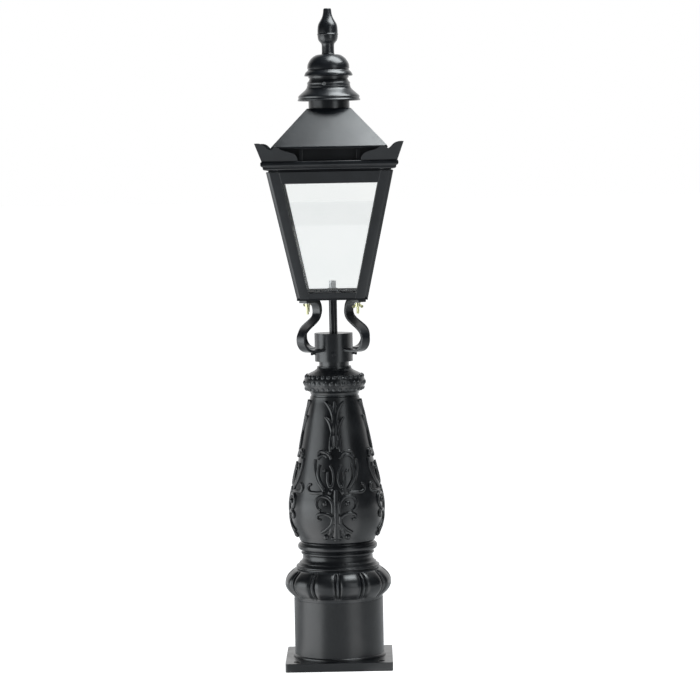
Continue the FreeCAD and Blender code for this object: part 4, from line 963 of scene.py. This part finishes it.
def add_camera():
    """The photograph's view: a long lens, a little above the middle and slightly rolled."""
    data = bpy.data.cameras.new("camera")
    data.sensor_width, data.lens = 36, LENS
    data.clip_end = 200
    camera = bpy.data.objects.new("camera", data)
    bpy.context.scene.collection.objects.link(camera)
    bearing = math.radians(CAMERA_BEARING)
    place = Vector((CAMERA_AWAY * math.sin(bearing), -CAMERA_AWAY * math.cos(bearing),
                    CAMERA_HEIGHT))
    camera.matrix_world = (
        Matrix.Translation(place)
        @ Matrix.Rotation(math.radians(CAMERA_PAN), 4, "Z")
        @ Matrix.Rotation(math.radians(90 - CAMERA_DOWN), 4, "X")
        @ Matrix.Rotation(math.radians(CAMERA_ROLL), 4, "Z"))
    bpy.context.scene.camera = camera


# Soft boxes: name, bearing, distance, height, width, length, level and height aimed at.
SOFT_BOXES = (("left_soft_box", -70, 2.2, 0.6, 2.2, 1.2, 2.5, 0.6),
              ("right_soft_box", 36, 2.6, 1.3, 0.9, 2.0, 1.6, 0.9),
              ("top_soft_box", 78, 0.50, 2.25, 0.8, 1.0, 8.5, 1.2))


def add_lamp(name, bearing, distance, height, width, tall, level, aim_height):
    """A soft box of a level of brightness; a bearing of 0 is the camera's side."""
    data = bpy.data.lights.new(name, "AREA")
    data.shape, data.size, data.size_y = "RECTANGLE", width, tall
    data.energy = level * math.pi * width * tall
    data.color = (0.93, 0.98, 1.0)
    lamp = bpy.data.objects.new(name, data)
    bpy.context.scene.collection.objects.link(lamp)
    turn = math.radians(bearing)
    place = Vector((distance * math.sin(turn), -distance * math.cos(turn), height))
    aim = Vector((0, 0, aim_height)) - place
    facing = aim.to_track_quat("-Z", "Y").to_matrix().to_4x4()
    lamp.matrix_world = Matrix.Translation(place) @ facing


def make_world():
    """White where the camera looks, plain grey light, and a gloss that is white behind."""
    world = bpy.data.worlds.new("studio")
    bpy.context.scene.world = world
    world.use_nodes = True
    tree = world.node_tree
    tree.nodes.clear()
    path = add_node(tree, "ShaderNodeLightPath")
    place = add_node(tree, "ShaderNodeTexCoord")
    parts = add_node(tree, "ShaderNodeSeparateXYZ")
    tree.links.new(place.outputs["Generated"], parts.inputs[0])
    behind = remap(tree, parts.outputs["Y"], 0.35, 0.95, 0.02, 0.9)
    seen = add_node(tree, "ShaderNodeBackground", Strength=1.0)
    gloss = add_node(tree, "ShaderNodeBackground")
    tree.links.new(behind, gloss.inputs["Strength"])
    light = add_node(tree, "ShaderNodeBackground", Color=(0.93, 0.97, 1.0, 1), Strength=0.24)
    for node in (seen, gloss):
        node.inputs["Color"].default_value = (1, 1, 1, 1)
    first = add_node(tree, "ShaderNodeMixShader")
    second = add_node(tree, "ShaderNodeMixShader")
    tree.links.new(path.outputs["Is Glossy Ray"], first.inputs[0])
    tree.links.new(light.outputs[0], first.inputs[1])
    tree.links.new(gloss.outputs[0], first.inputs[2])
    see = combine(tree, "MAXIMUM", path.outputs["Is Camera Ray"],
                  path.outputs["Is Transmission Ray"])
    tree.links.new(see, second.inputs[0])
    tree.links.new(first.outputs[0], second.inputs[1])
    tree.links.new(seen.outputs[0], second.inputs[2])
    output = add_node(tree, "ShaderNodeOutputWorld")
    tree.links.new(second.outputs[0], output.inputs[0])


# Pools of light painted into the floor's gloss where the soft boxes would light it: bearing, half
# angle, soft edge and level.
PAINTED_FLOOR_LIGHT = ((-70, 20, 16, 1.25), (40, 5, 16, 0.8))
# The floor's own white: in the camera, and through the panes, where lamps add the rest.
FLOOR_WHITE, FLOOR_THROUGH_GLASS = 0.86, 0.71


def painted_light_patch(tree, place, bearing, half, edge, level):
    """A painted pool of light: a sector of the floor that glows in glossy rays, as it shows in the
    gloss of the post's foot.
    """
    turn = math.radians(bearing)
    flat = add_node(tree, "ShaderNodeVectorMath", operation="NORMALIZE")
    tree.links.new(place, flat.inputs[0])
    toward = add_node(tree, "ShaderNodeVectorMath", operation="DOT_PRODUCT")
    tree.links.new(flat.outputs[0], toward.inputs[0])
    toward.inputs[1].default_value = (math.sin(turn), -math.cos(turn), 0)
    return remap(tree, toward.outputs["Value"], math.cos(math.radians(half + edge)),
                 math.cos(math.radians(half)), 0.0, level)


def add_floor():
    """A white floor that still takes the object's shadow; in glossy rays it glows with painted
    pools of light and a painted reflection that is brighter behind.
    """
    deselect()
    bpy.ops.mesh.primitive_plane_add(size=120)
    floor = named(bpy.context.object, "studio_floor")
    material, tree, shader = new_material("white_floor")
    shader.inputs["Base Color"].default_value = (0.9, 0.9, 0.9, 1)
    shader.inputs["Roughness"].default_value = 0.9
    shader.inputs["Emission Color"].default_value = (1, 1, 1, 1)
    path = add_node(tree, "ShaderNodeLightPath")
    place = add_node(tree, "ShaderNodeTexCoord")
    parts = add_node(tree, "ShaderNodeSeparateXYZ")
    tree.links.new(place.outputs["Object"], parts.inputs[0])
    # Painted light: in glossy rays the floor glows where the soft boxes would light it, fading
    # further out.
    patches = [painted_light_patch(tree, place.outputs["Object"], *patch) for patch in PAINTED_FLOOR_LIGHT]
    gloss = combine(tree, "MAXIMUM", *patches)
    reach = add_node(tree, "ShaderNodeVectorMath", operation="LENGTH")
    tree.links.new(place.outputs["Object"], reach.inputs[0])
    near = remap(tree, reach.outputs["Value"], 1.3, 1.9, 1.0, 0.25)
    gloss = combine(tree, "MULTIPLY", gloss, near)
    # Painted reflection: in glossy rays the floor also glows brighter behind the post.
    behind = remap(tree, parts.outputs["Y"], 0.5, 1.8, 0.02, 0.8)
    mirrored = combine(tree, "SUBTRACT", path.outputs["Is Glossy Ray"],
                       path.outputs["Is Transmission Ray"])
    gloss = combine(tree, "MULTIPLY", mirrored, combine(tree, "MAXIMUM", gloss, behind))
    seen = combine(tree, "MULTIPLY", path.outputs["Is Camera Ray"], FLOOR_WHITE)
    through = combine(tree, "MULTIPLY", path.outputs["Is Transmission Ray"],
                      FLOOR_THROUGH_GLASS)
    see = combine(tree, "MAXIMUM", seen, through)
    tree.links.new(combine(tree, "MAXIMUM", see, gloss),
                   shader.inputs["Emission Strength"])
    floor.data.materials.append(material)


build_casting()
build_lobed_ring()
build_foot()
build_collar()
build_plain_pieces()
build_arms()
build_sills_and_panes()
build_conduit()
build_nipple()
build_cornice()
build_leaves()
build_roof()
finish_nodes()
add_camera()
for soft_box in SOFT_BOXES:
    add_lamp(*soft_box)
make_world()
add_floor()
bpy.context.scene.view_settings.view_transform = "Standard"
